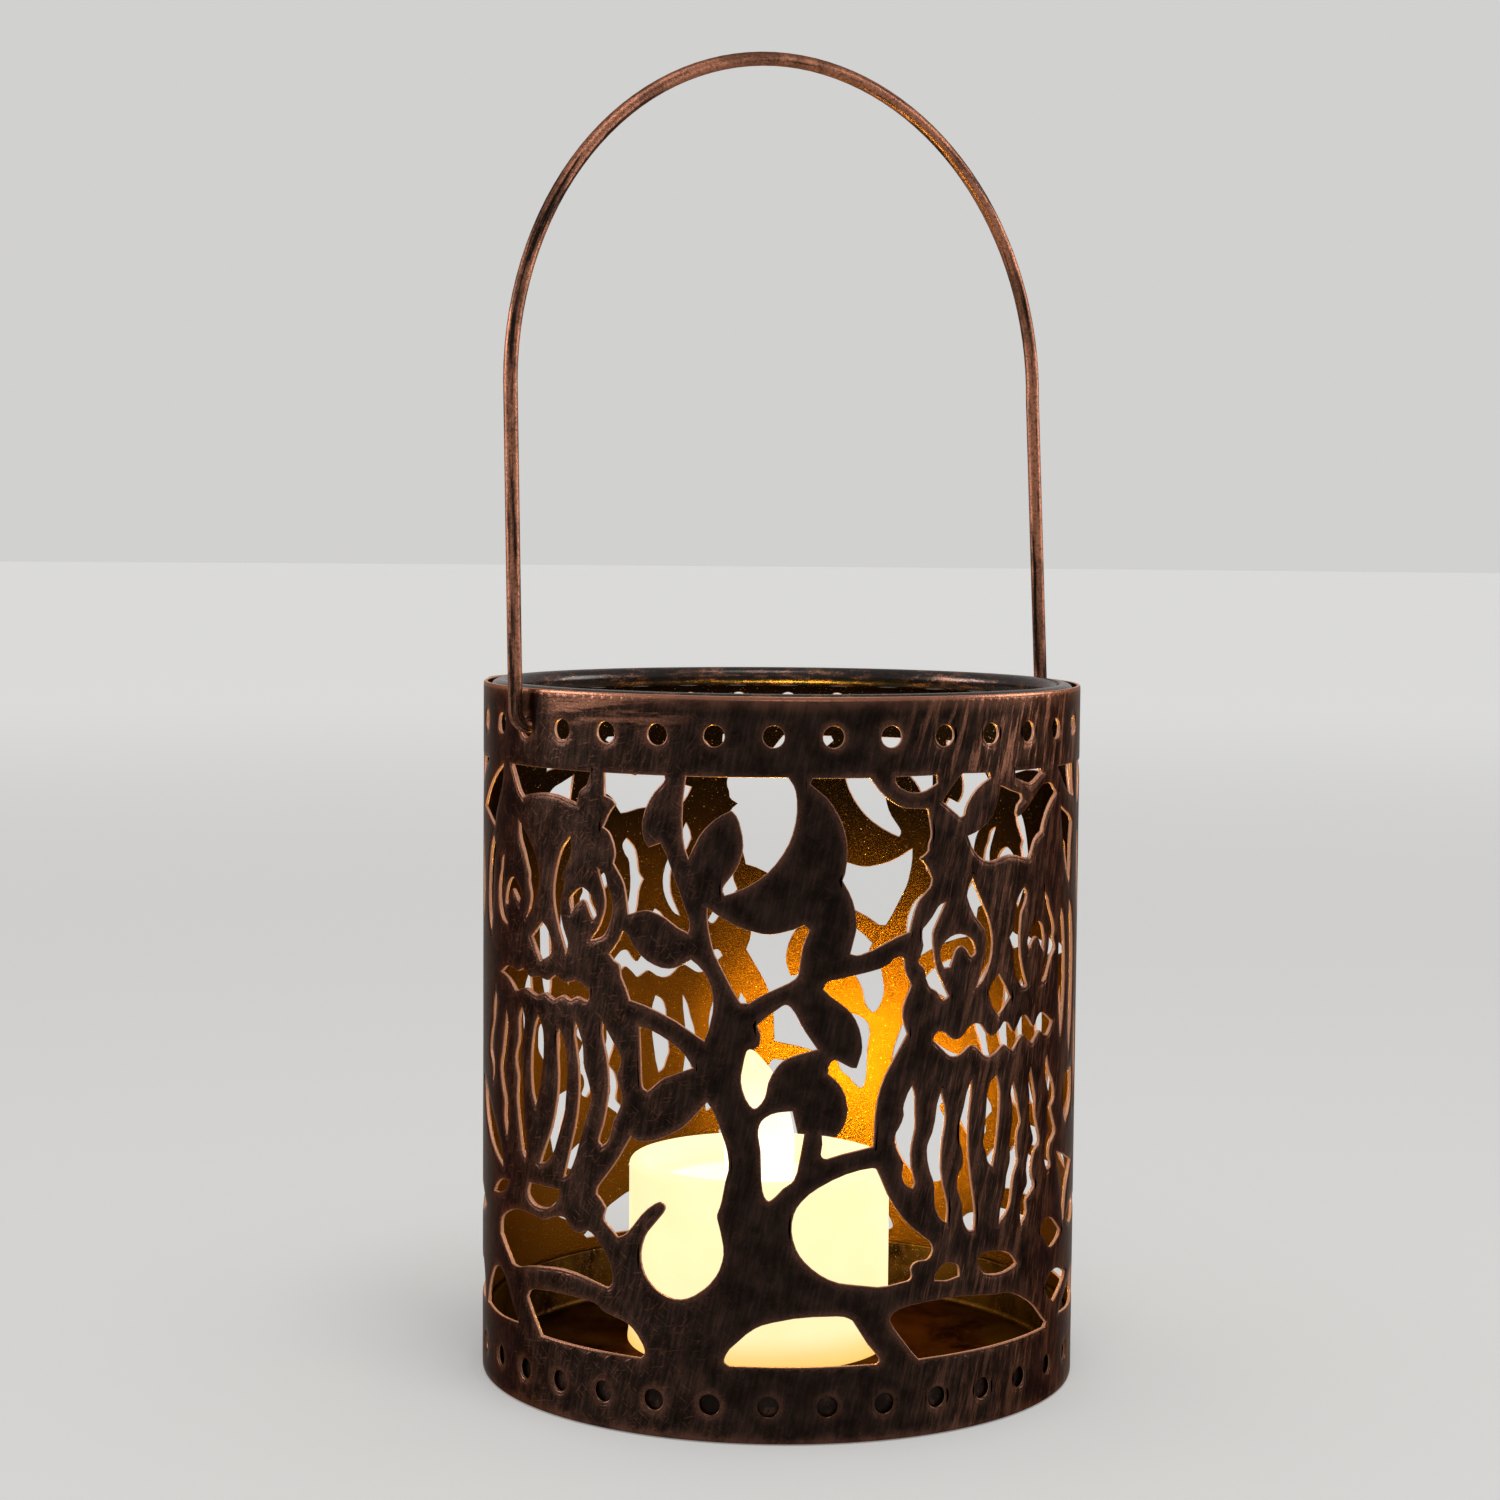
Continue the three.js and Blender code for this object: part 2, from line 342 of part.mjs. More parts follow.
    [-6.5, 11.5, 1], [-7.3, 12.2], [-6.6, 13.8], [-5.2, 15.2], [-3.5, 16.7], [-1.7, 17.7], [0.6, 18.3],
    [3.4, 18.8], [6.8, 19], [10.2, 18.9], [11.8, 18.2, 1], [13, 16.3], [14.2, 14.5], [15.5, 13], [16, 12],
    [15.4, 11.5, 1],
  ],
  rightFootWindow: [
    [22.4, 11.6, 1], [21.2, 12.9], [19.7, 14.8], [18.3, 16.6], [17.6, 18], [18.2, 19], [20, 19.7], [23.3, 20.1],
    [27.5, 20.3], [32, 20], [36, 19.5], [39.7, 19.2], [41.8, 18.6], [44, 17.6], [46.2, 16.4], [48, 15.1],
    [49.9, 13.4], [51.6, 12.2, 1], [50.9, 11.6, 1],
  ],
  rightOwlToeHole: [
    [25, 23.2, 1], [25.1, 24], [26, 25.1], [27.2, 25.6], [28.6, 25.3], [29.4, 24.7], [29.5, 23.3, 1],
    [27.2, 22.9],
  ],
  rightOwlFootHole: [
    [33.1, 25.4, 1], [34.2, 26.1], [37.2, 26], [39.7, 25.4], [41.1, 24.4], [42, 23.3, 1], [40.4, 22.8],
    [38.2, 22.5], [35.8, 22.7], [34, 23.4],
  ],
  edgeLeafHole: [
    [48.9, 27, 1], [50.2, 28.6], [52.8, 28.4], [55, 27.2], [57.4, 25.5, 1], [55.4, 24.4], [52.6, 23.8],
    [50.6, 25.2],
  ],
  branchTipWindow: [
    [54.9, 38.3, 1], [58, 37.5], [61, 36.4], [64.8, 35.3, 1], [62.2, 33.5], [60.4, 31], [59.4, 27.6],
    [58.7, 26.6, 1], [57.9, 29], [57.2, 31.8], [56, 34.6],
  ],
  edgeFootWindow: [
    [50.6, 17.8, 1], [52.6, 19.5], [56, 19.8], [61, 18.1, 1], [58.2, 16.6], [54.4, 14.9, 1], [52.2, 16],
  ],
  edgeRootWindow: [
    [57, 12.4, 1], [59.4, 14.4], [63.6, 16.4], [68, 18.2], [70.8, 17], [72.2, 14.6], [72.4, 12.2, 1],
    [66, 11.8],
  ],
  leftRootWindow: [
    [-46.6, 12.2, 1], [-48.8, 15], [-50.4, 17.4], [-53.2, 19.3], [-56.2, 18.9], [-58.6, 16.8], [-60.2, 14.4],
    [-60.8, 12.2, 1], [-54, 11.8],
  ],
  edgeBandWindow: [
    [60.8, 27, 1], [64, 28.8], [68.4, 29.4], [73.2, 27.4, 1], [69.5, 25.9], [64.6, 25.2],
  ],
  edgeMidWindow: [
    [58.4, 49.4, 1], [61, 50.2], [63.4, 50.1], [63.8, 46.6], [62.2, 44.2], [59.6, 42, 1], [58, 44],
    [57.7, 47],
  ],
  edgeSlotNear: [
    [55.3, 76.4, 1], [56.6, 74.6], [57.5, 70], [57.7, 64.4], [57, 59.4], [55.6, 56.2, 1], [54.9, 60],
    [54.3, 66], [54.6, 72],
  ],
  edgeSlotFar: [
    [59.6, 77.4, 1], [61.8, 74.8], [63.2, 70], [63.3, 64], [62.6, 58], [61, 52.6, 1], [60, 57], [60.2, 63],
    [60.4, 69], [59.6, 74],
  ],
  edgeLeafWindow: [
    [66, 60.4, 1], [68.2, 57], [68.6, 51.6], [67.2, 45.6], [65.6, 43.2, 1], [65.4, 48], [65.2, 54],
  ],
  edgeTopTriangle: [
    [52.8, 98.4, 1], [60.4, 98.4, 1], [60.8, 96], [61.6, 93.2, 1], [58.4, 94], [55.4, 95.9],
  ],
  edgeTopLeaf: [
    [54.4, 92.2, 1], [57, 91.2], [59.4, 90.4], [61.1, 89.2, 1], [60.3, 86], [60.1, 82.6], [59.4, 79.8, 1],
    [57.4, 82.2], [55.9, 85.6], [55.1, 89],
  ],
  edgeSkyWindow: [
    [64.6, 98.3, 1], [75.4, 98.3, 1], [71.6, 96.4], [68, 93.4], [65.6, 91, 1], [64.7, 94.6],
  ],
  edgeSkyLeaf: [
    [66.4, 88, 1], [69, 86.2], [70.6, 82], [70.9, 77], [69.4, 72, 1], [67.2, 75], [65.9, 80], [65.6, 84.6],
  ],
  leftOwlEarWindow: [
    [-52.6, 98, 1], [-56, 96.4], [-60, 94], [-63, 91.9], [-65.6, 90.4, 1], [-62.6, 89.9], [-59.6, 89],
    [-56.8, 88, 1], [-56, 90.2], [-54.4, 92.6], [-52.9, 95.4],
  ],
  leftOwlSideWindow: [
    [-57.4, 86.6, 1], [-59.2, 84.4], [-60.4, 81], [-60.9, 77], [-60.3, 73.8], [-58.6, 71.4, 1], [-57.8, 75],
    [-57.5, 78.6], [-57, 82], [-56.5, 84.6],
  ],
  leftOwlTailSide: [
    [-65, 47.6, 1], [-62.6, 42.6], [-59.1, 38.9], [-55.6, 36.8], [-52.4, 35.5, 1], [-53.3, 38.2],
    [-55.6, 41], [-58.4, 43.6], [-61.6, 46.4],
  ],
  leftOwlTailSliver: [
    [-56.9, 30.8, 1], [-54.4, 31], [-51.6, 32], [-50.2, 33.5, 1], [-52.4, 33.5], [-54.8, 32.6],
  ],
};

// A smooth outline through the drawn points, thinned to the points it needs
function traceOutline(points) {
  const count = points.length;
  const path = [];
  for (let i = 0; i < count; i += 1) {
    const start = points[i];
    const end = points[(i + 1) % count];
    const before = points[(i + count - 1) % count];
    const after = points[(i + 2) % count];
    if (start[2] && end[2]) {
      path.push([start[0], start[1]]);
      continue;
    }
    const chord = [end[0] - start[0], end[1] - start[1]];
    const reach = 1.2 * Math.hypot(chord[0], chord[1]);
    const slopeAt = (from, to) => {
      const slope = [(to[0] - from[0]) / 2, (to[1] - from[1]) / 2];
      const scale = Math.min(1, reach / Math.hypot(slope[0], slope[1]));
      return [slope[0] * scale, slope[1] * scale];
    };
    let leaving = start[2] ? null : slopeAt(before, end);
    let arriving = end[2] ? null : slopeAt(start, after);
    if (leaving === null) {
      leaving = chord.map((value, k) => 1.5 * value - 0.5 * arriving[k]);
    }
    if (arriving === null) {
      arriving = chord.map((value, k) => 1.5 * value - 0.5 * leaving[k]);
    }
    for (let step = 0; step < 6; step += 1) {
      const t = step / 6;
      const a = 2 * t ** 3 - 3 * t ** 2 + 1;
      const b = t ** 3 - 2 * t ** 2 + t;
      const c = -2 * t ** 3 + 3 * t ** 2;
      const d = t ** 3 - t ** 2;
      path.push([0, 1].map((k) => a * start[k] + b * leaving[k] + c * end[k] + d * arriving[k]));
    }
  }
  return thinLoop(path, outlineTolerance);
}

// Drops points that lie within the tolerance of the line between their neighbours
function thinLoop(path, tolerance) {
  let farthest = 0;
  path.forEach((point, i) => {
    const best = path[farthest];
    const near = Math.hypot(best[0] - path[0][0], best[1] - path[0][1]);
    if (Math.hypot(point[0] - path[0][0], point[1] - path[0][1]) > near) {
      farthest = i;
    }
  });
  const first = thinRun(path.slice(0, farthest + 1), tolerance);
  const second = thinRun([...path.slice(farthest), path[0]], tolerance);
  return [...first.slice(0, -1), ...second.slice(0, -1)];
}

function thinRun(run, tolerance) {
  if (run.length < 3) {
    return run;
  }
  const start = run[0];
  const end = run[run.length - 1];
  const dx = end[0] - start[0];
  const dy = end[1] - start[1];
  const length = Math.hypot(dx, dy);
  let worst = 0;
  let index = 0;
  for (let i = 1; i < run.length - 1; i += 1) {
    const off = Math.abs((run[i][0] - start[0]) * dy - (run[i][1] - start[1]) * dx) / length;
    if (off > worst) {
      worst = off;
      index = i;
    }
  }
  if (worst < tolerance) {
    return [start, end];
  }
  const left = thinRun(run.slice(0, index + 1), tolerance);
  return [...left.slice(0, -1), ...thinRun(run.slice(index), tolerance)];
}

function signedArea(loop) {
  let area = 0;
  loop.forEach((point, i) => {
    const next = loop[(i + 1) % loop.length];
    area += point[0] * next[1] - next[0] * point[1];
  });
  return area / 2;
}

// Loops of the flat sheet: its edge runs anticlockwise and its windows clockwise
function sheetLoops() {
  const drawn = Object.values(fretwork).flat();
  const drawnLeft = Math.min(...drawn.map((p) => p[0]));
  const drawnRight = Math.max(...drawn.map((p) => p[0]));
  const drawnLow = Math.min(...drawn.map((p) => p[1]));
  const drawnHigh = Math.max(...drawn.map((p) => p[1]));
  const uScale = arcTo(repeatAngle + interlockAngle) / (drawnRight - drawnLeft);
  const vScale = (wallHeight - topBand - bottomBand) / (drawnHigh - drawnLow);
  const loops = [[[seamStart, 0], [seamEnd, 0], [seamEnd, wallHeight], [seamStart, wallHeight]]];
  for (let copy = -1; copy <= 2; copy += 1) {
    const shift = copy * arcTo(repeatAngle);
    for (const points of Object.values(fretwork)) {
      const moved = points.map((p) => [p[0] * uScale + shift, bottomBand + (p[1] - drawnLow) * vScale, p[2]]);
      const outline = traceOutline(moved);
      const us = outline.map((p) => p[0]);
      const leftClear = Math.min(...us) > seamStart + seamLap + seamMargin;
      const rightClear = Math.max(...us) < lapStart - seamRise - seamMargin;
      if (leftClear && rightClear) {
        loops.push(signedArea(outline) > 0 ? outline.reverse() : outline);
      }
    }
  }
  const pitch = circumference / holeCount;
  const firstHole = arcTo(-90 - treeAzimuth);
  const holeSides = 6;
  const holeRadius = 0.55 * holeDiameter;
  for (const height of [bottomRowInset, pivotHeight]) {
    for (let k = -holeCount; k < 2 * holeCount; k += 1) {
      const middle = firstHole + k * pitch;
      if (middle > seamStart + seamLap + holeRadius && middle < lapStart - holeRadius) {
        const hole = [];
        for (let side = 0; side < holeSides; side += 1) {
          const angle = (-2 * Math.PI * (side + 0.5)) / holeSides;
          hole.push([middle + holeRadius * Math.cos(angle), height + holeRadius * Math.sin(angle)]);
        }
        loops.push(hole);
      }
    }
  }
  return loops;
}

// Cuts the loops into vertical strips, so that the sheet can be bent strip by strip
function splitLoops(loops, cuts) {
  const strips = cuts.slice(0, -1).map(() => ({ chains: [], closed: [] }));
  const stripOf = (u) => {
    const index = cuts.findIndex((cut) => cut > u);
    return index < 0 ? strips.length - 1 : Math.max(0, index - 1);
  };
  for (const loop of loops) {
    const path = [];
    loop.forEach((point, i) => {
      const next = loop[(i + 1) % loop.length];
      path.push({ at: point, cut: -1 });
      const crossed = [];
      cuts.slice(1, -1).forEach((cut, k) => {
        if ((point[0] - cut) * (next[0] - cut) < 0) {
          const t = (cut - point[0]) / (next[0] - point[0]);
          crossed.push({ t, at: [cut, point[1] + t * (next[1] - point[1])], cut: k + 1 });
        }
      });
      crossed.sort((a, b) => a.t - b.t);
      path.push(...crossed);
    });
    const firstCut = path.findIndex((entry) => entry.cut >= 0);
    if (firstCut < 0) {
      strips[stripOf(path[0].at[0])].closed.push(path.map((entry) => entry.at));
      continue;
    }
    const turned = [...path.slice(firstCut), ...path.slice(0, firstCut), path[firstCut]];
    let chain = [turned[0]];
    turned.slice(1).forEach((entry) => {
      chain.push(entry);
      if (entry.cut >= 0) {
        const middle = (chain[0].at[0] + chain[1].at[0]) / 2;
        const inside = chain.length > 2 ? chain[1].at[0] : middle;
        strips[stripOf(inside)].chains.push(chain);
        chain = [entry];
      }
    });
  }
  return strips;
}

// Joins the chains of a strip along its two cut lines into closed loops
function joinChains(strip, cuts, index) {
  const ends = new Map();
  for (const side of [index, index + 1]) {
    const met = [];
    strip.chains.forEach((chain) => {
      for (const entry of [chain[0], chain[chain.length - 1]]) {
        if (entry.cut === side) {
          met.push({ entry, chain });
        }
      }
    });
    met.sort((a, b) => a.entry.at[1] - b.entry.at[1]);
    for (let i = 0; i + 1 < met.length; i += 2) {
      ends.set(met[i].entry, met[i + 1]);
      ends.set(met[i + 1].entry, met[i]);
    }
  }
  const loops = [];
  const used = new Set();
  strip.chains.forEach((first) => {
    if (used.has(first)) {
      return;
    }
    const loop = [];
    let chain = first;
    while (!used.has(chain)) {
      used.add(chain);
      chain.forEach((entry) => loop.push(entry.at));
      chain = ends.get(chain[chain.length - 1]).chain;
    }
    loops.push(loop);
  });
  return loops;
}

function holdsPoint(loop, point) {
  let inside = false;
  loop.forEach((a, i) => {
    const b = loop[(i + 1) % loop.length];
    const spans = a[1] > point[1] !== b[1] > point[1];
    if (spans && point[0] < ((b[0] - a[0]) * (point[1] - a[1])) / (b[1] - a[1]) + a[0]) {
      inside = !inside;
    }
  });
  return inside;
}

// Rolls a point of the flat sheet round the wall. Depth 0 is the outer face.
// The outer end rides over the inner end by one sheet and a small gap.
function rollPoint(u, v, depth, cuts, index) {
  const place = (at) => {
    const ramp = THREE.MathUtils.smoothstep(at, lapStart - seamRise, lapStart);
    const radius = outerRadius - depth + ramp * (sheet + seamGap);
    const angle = at / outerRadius + (treeAzimuth * Math.PI) / 180;
    return [radius * Math.sin(angle), -radius * Math.cos(angle)];
  };
  const from = place(cuts[index]);
  const to = place(cuts[index + 1]);
  const t = (u - cuts[index]) / (cuts[index + 1] - cuts[index]);
  return [from[0] + t * (to[0] - from[0]), from[1] + t * (to[1] - from[1]), v];
}

function wallGeometry() {
  const loops = sheetLoops();
  const facet = circumference / wallFacets;
  const corners = loops.flat().map((point) => point[0]);
  const cuts = [seamStart];
  for (let cut = seamStart + facet; cut < seamEnd - 0.4 * facet; cut += facet) {
    let line = cut;
    while (corners.some((u) => Math.abs(u - line) < 0.02)) {
      line += 0.045;
    }
    cuts.push(line);
  }
  cuts.push(seamEnd);
  const position = [];
  const face = (a, b, c) => position.push(...a, ...b, ...c);
  splitLoops(loops, cuts).forEach((strip, index) => {
    const roll = (point, depth) => rollPoint(point[0], point[1], depth, cuts, index);
    const joined = joinChains(strip, cuts, index);
    const solids = [...joined, ...strip.closed].filter((loop) => signedArea(loop) > 0);
    const windows = [...joined, ...strip.closed].filter((loop) => signedArea(loop) <= 0);
    for (const solid of solids) {
      const inner = windows.filter((loop) => holdsPoint(solid, loop[0]));
      const toVectors = (loop) => loop.map((p) => new THREE.Vector2(p[0], p[1]));
      const flat = [solid, ...inner].flat();
      const triangles = THREE.ShapeUtils.triangulateShape(toVectors(solid), inner.map(toVectors));
      for (const [a, second, third] of triangles) {
        const turnedLeft = signedArea([flat[a], flat[second], flat[third]]) > 0;
        const [b, c] = turnedLeft ? [second, third] : [third, second];
        face(roll(flat[a], 0), roll(flat[b], 0), roll(flat[c], 0));
        face(roll(flat[a], sheet), roll(flat[c], sheet), roll(flat[b], sheet));
      }
    }
    const rims = [...strip.chains.map((chain) => chain.map((entry) => entry.at))];
    strip.closed.forEach((loop) => rims.push([...loop, loop[0]]));
    for (const rim of rims) {
      for (let i = 0; i + 1 < rim.length; i += 1) {
        const a = rim[i];
        const b = rim[i + 1];
        face(roll(a, 0), roll(a, sheet), roll(b, sheet));
        face(roll(a, 0), roll(b, sheet), roll(b, 0));
      }
    }
  });
  const geometry = new THREE.BufferGeometry();
  geometry.setAttribute("position", new THREE.Float32BufferAttribute(position, 3));
  return geometry;
}

// A round wire swept along a path that lies in the XZ plane
function wireGeometry(path, wire, sides) {
  const position = [];
  const rings = path.map((point, i) => {
    const before = path[Math.max(0, i - 1)];
    const after = path[Math.min(path.length - 1, i + 1)];
    const along = new THREE.Vector2(after[0] - before[0], after[1] - before[1]).normalize();
    const ring = [];
    for (let side = 0; side < sides; side += 1) {
      const angle = (2 * Math.PI * side) / sides;
      const across = (wire / 2) * Math.cos(angle);
      ring.push([point[0] + across * along.y, (wire / 2) * Math.sin(angle), point[1] - across * along.x]);
    }
    return ring;
  });
  const face = (a, b, c) => position.push(...a, ...b, ...c);
  for (let i = 0; i + 1 < rings.length; i += 1) {
    for (let side = 0; side < sides; side += 1) {
      const next = (side + 1) % sides;
      face(rings[i][side], rings[i + 1][next], rings[i + 1][side]);
      face(rings[i][side], rings[i][next], rings[i + 1][next]);
    }
  }
  const last = rings.length - 1;
  for (let side = 1; side + 1 < sides; side += 1) {
    face(rings[0][0], rings[0][side + 1], rings[0][side]);
    face(rings[last][0], rings[last][side], rings[last][side + 1]);
  }
  const geometry = new THREE.BufferGeometry();
  geometry.setAttribute("position", new THREE.Float32BufferAttribute(position, 3));
  return geometry;
}

// Half of the bail from its inner end to just short of the top, as [x, z] with x positive.
// The wire was bent by hand, so each leg has its own distance from the wall and its own lean.
function bailHalf(standOff, archStandOff) {
  const legX = outerRadius + standOff;
  const archX = outerRadius + archStandOff;
  const archZ = wallHeight + bailLegRise;
  const half = [[innerRadius - bailInnerEnd, pivotHeight]];
  for (let step = 0; step <= 5; step += 1) {
    const angle = (step * Math.PI) / 10;
    const x = legX - bailBend + bailBend * Math.sin(angle);
    half.push([x, pivotHeight + bailBend - bailBend * Math.cos(angle)]);
  }
  half.push([(legX + archX) / 2, (wallHeight + archZ) / 2]);
  for (let step = 0; step < 15; step += 1) {
    const angle = (step * Math.PI) / 30;
    half.push([archX * Math.cos(angle), archZ + bailArchRise * Math.sin(angle)]);
  }
  return half;
}

function bailGeometry() {
  const left = bailHalf(bailLeftStandOff, bailLeftArchStandOff).map((p) => [-p[0], p[1]]);
  const top = [0, wallHeight + bailLegRise + bailArchRise];
  const right = bailHalf(bailRightStandOff, bailRightArchStandOff).reverse();
  return wireGeometry([...left, top, ...right], bailWire, 8);
}

// A turned piece from a [radius, height] profile that starts and ends on the axis,
// or is closed here from its last point to its first
function turned(profile, segments) {
  const points = profile.map((p) => new THREE.Vector2(p[0], p[1]));
  if (profile[0][0] > 0) {
    points.push(points[0].clone());
  }
  const geometry = new THREE.LatheGeometry(points, segments);
  geometry.rotateX(Math.PI / 2);
  return geometry;
}

function block(x0, x1, y0, y1, z0, z1) {
  const box = new THREE.BoxGeometry(x1 - x0, y1 - y0, z1 - z0);
  box.translate((x0 + x1) / 2, (y0 + y1) / 2, (z0 + z1) / 2);
  return box;
}

function upright(radius, z0, z1, segments) {
  const rod = new THREE.CylinderGeometry(radius, radius, z1 - z0, segments);
  rod.rotateX(Math.PI / 2);
  rod.translate(0, 0, (z0 + z1) / 2);
  return rod;
}

// Solid arithmetic on closed meshes
function solidOf(geometry) {
  const bare = geometry.index ? geometry.toNonIndexed() : geometry;
  const source = bare.getAttribute("position");
  const keys = new Map();
  const vertices = [];
  const triangles = [];
  for (let i = 0; i < source.count; i += 1) {
    const point = [source.getX(i), source.getY(i), source.getZ(i)];
    const key = point.map((value) => Math.round(value * 1e4)).join(",");
    if (!keys.has(key)) {
      keys.set(key, vertices.length / 3);
      vertices.push(...point);
    }
    triangles.push(keys.get(key));
  }
  const kept = [];
  for (let i = 0; i < triangles.length; i += 3) {
    const [a, b, c] = triangles.slice(i, i + 3);
    if (a !== b && b !== c && c !== a) {
      kept.push(a, b, c);
    }
  }
  const mesh = new wasm.Mesh({
    numProp: 3,
    vertProperties: new Float32Array(vertices),
    triVerts: new Uint32Array(kept),
  });
  return new wasm.Manifold(mesh);
}

function geometryOf(solid) {
  const mesh = solid.getMesh();
  const position = [];
  for (const index of mesh.triVerts) {
    const start = index * mesh.numProp;
    position.push(...mesh.vertProperties.slice(start, start + 3));
  }
  const geometry = new THREE.BufferGeometry();
  geometry.setAttribute("position", new THREE.Float32BufferAttribute(position, 3));
  return geometry;
}

function less(base, ...tools) {
  let solid = solidOf(base);
  for (const tool of tools) {
    solid = solid.subtract(solidOf(tool));
  }
  return geometryOf(solid);
}

function plus(...pieces) {
  let solid = solidOf(pieces[0]);
  for (const piece of pieces.slice(1)) {
    solid = solid.add(solidOf(piece));
  }
  return geometryOf(solid);
}

const group = new THREE.Group();
group.name = "candle_lamp";

function addPiece(name, geometry, color, roughness, metalness) {
  const material = new THREE.MeshStandardMaterial({ color, roughness, metalness });
  const mesh = new THREE.Mesh(geometry, material);
  mesh.name = name;
  group.add(mesh);
}

function addCandlePiece(name, geometry, color, roughness, metalness) {
  geometry.translate(candleX, candleY, candleFloor);
  addPiece(name, geometry, color, roughness, metalness);
}

// Wall, ring and tray of the lantern
addPiece("wall_sheet", wallGeometry(), "#2c1f1a", 0.5, 0.8);

const ring = new THREE.TorusGeometry(ringRadius, ringWire / 2, 8, 48);
ring.translate(0, 0, ringHeight);
addPiece("rim_ring", ring, "#241a17", 0.45, 0.8);

const trayProfile = [[0, 0]];
for (let step = 0; step <= 3; step += 1) {
  const angle = (step * Math.PI) / 6;
  const x = trayRadius - trayCorner + trayCorner * Math.sin(angle);
  trayProfile.push([x, trayCorner - trayCorner * Math.cos(angle)]);
}
trayProfile.push([trayRadius, trayFlange], [trayRadius - trayThickness, trayFlange]);
for (let step = 3; step >= 0; step -= 1) {
  const angle = (step * Math.PI) / 6;
  const bend = trayCorner - trayThickness;
  const x = trayRadius - trayCorner + bend * Math.sin(angle);
  trayProfile.push([x, trayCorner - bend * Math.cos(angle)]);
}
trayProfile.push([0, trayThickness]);
addPiece("base_tray", turned(trayProfile, 48), "#1f1714", 0.6, 0.7);

addPiece("bail_handle", bailGeometry(), "#241a18", 0.4, 0.85);

// The battery candle, drawn about its own axis with its underside at z = 0
const shellRadius = candleDiameter / 2;
const shellInner = shellRadius - shellWall;
const recessFloor = candleHeight - recessDepth;
const ceiling = recessFloor - 1.5;
const flameHole = flameWidth / 2 - 0.7;
const baseRadius = shellInner - fit;
const cellRadius = cellDiameter / 2;
const wellRadius = cellRadius + 0.4;
const doorRadius = cellRadius + 2;
const grooveRadius = doorRadius + 1.9;
const wallRingRadius = grooveRadius + 1.3;
const cellBottom = 4;
const cellTop = cellBottom + cellHeight;
const ringTop = cellTop + 4.1;
const boardBottom = ringTop + fit;
const boardTop = boardBottom + 1.2;

addCandlePiece("candle_shell", turned([
  [shellInner, 0],
  [shellRadius - 0.1, 0],
  [shellRadius + 0.25, 0.4],
  [shellRadius, 1.6],
  [shellRadius, candleHeight - 2],
  [shellRadius - 0.25, candleHeight - 1],
  [shellRadius - 0.85, candleHeight - 0.25],
  [shellRadius - 1.5, candleHeight],
  [shellRadius - 2.2, candleHeight - 0.25],
  [shellRadius - 2.8, candleHeight - 1],
  [shellRadius - 3.1, candleHeight - 2],
  [shellRadius - 3.4, recessFloor + 0.5],
  [shellRadius - 4, recessFloor],
  [flameHole + fit, recessFloor],
  [flameHole + fit, ceiling],
  [shellInner - 1.3, ceiling],
  [shellInner, ceiling - 1.3],
], 32), "#f4ead2", 0.45, 0);

// Hollow flame that leans a little to one side, held by a collar under the recess floor
const flameRise = flameTop - recessFloor;
const flame = turned([
  [0, recessFloor + flameRise * 0.62],
  [2.4, recessFloor + flameRise * 0.55],
  [3.6, recessFloor + flameRise * 0.4],
  [3.9, recessFloor + flameRise * 0.23],
  [3.4, recessFloor + 0.9],
  [3.4, ceiling - 1.8],
  [flameHole + 1.4, ceiling - 1.8],
  [flameHole + 1.4, ceiling - fit],
  [flameHole, ceiling - fit],
  [flameHole, recessFloor + 0.3],
  [flameWidth / 2 - 0.3, recessFloor + flameRise * 0.11],
  [flameWidth / 2, recessFloor + flameRise * 0.25],
  [flameWidth / 2 - 0.1, recessFloor + flameRise * 0.39],
  [flameWidth / 2 - 0.6, recessFloor + flameRise * 0.54],
  [flameWidth / 2 - 1.45, recessFloor + flameRise * 0.69],
  [flameWidth / 2 - 2.5, recessFloor + flameRise * 0.81],
  [flameWidth / 2 - 3.6, recessFloor + flameRise * 0.9],
  [flameWidth / 2 - 4.6, recessFloor + flameRise * 0.96],
  [0, flameTop],
], 16);
const flamePoints = flame.getAttribute("position");
for (let i = 0; i < flamePoints.count; i += 1) {
  const z = flamePoints.getZ(i);
  const bend = flameLean * Math.max(0, (z - recessFloor - 3) / (flameRise - 3)) ** 2;
  flamePoints.setX(i, flamePoints.getX(i) - bend * 0.81);
  flamePoints.setY(i, flamePoints.getY(i) + bend * 0.59);
}
addCandlePiece("flame_tip", flame, "#f7e9c6", 0.35, 0);

const ledBottom = boardTop + 7.2;
const ledRadius = ledDiameter / 2;
addCandlePiece("led_bulb", plus(
  turned([
    [0, ledBottom],
    [ledRadius + 0.4, ledBottom],
    [ledRadius + 0.4, ledBottom + 1],
    [ledRadius, ledBottom + 1],
    [ledRadius, ledBottom + 6],
    [ledRadius * 0.87, ledBottom + 7.2],
    [ledRadius * 0.5, ledBottom + 8.1],
    [0, ledBottom + 8.4],
  ], 16),
  block(-1.52, -1.02, -0.25, 0.25, boardTop + fit, ledBottom + 0.5),
  block(1.02, 1.52, -0.25, 0.25, boardTop + fit, ledBottom + 0.5),
), "#ffe2a8", 0.15, 0);

addCandlePiece("circuit_board", upright(shellInner - 1.4, boardBottom, boardTop, 32), "#245a38", 0.55, 0);

const chip = turned([
  [0, boardTop + fit],
  [3, boardTop + fit],
  [2.6, boardTop + fit + 0.9],
  [1.5, boardTop + fit + 1.5],
  [0, boardTop + fit + 1.7],
], 14);
chip.translate(7, -6, 0);
addCandlePiece("flicker_chip", chip, "#15151a", 0.4, 0);

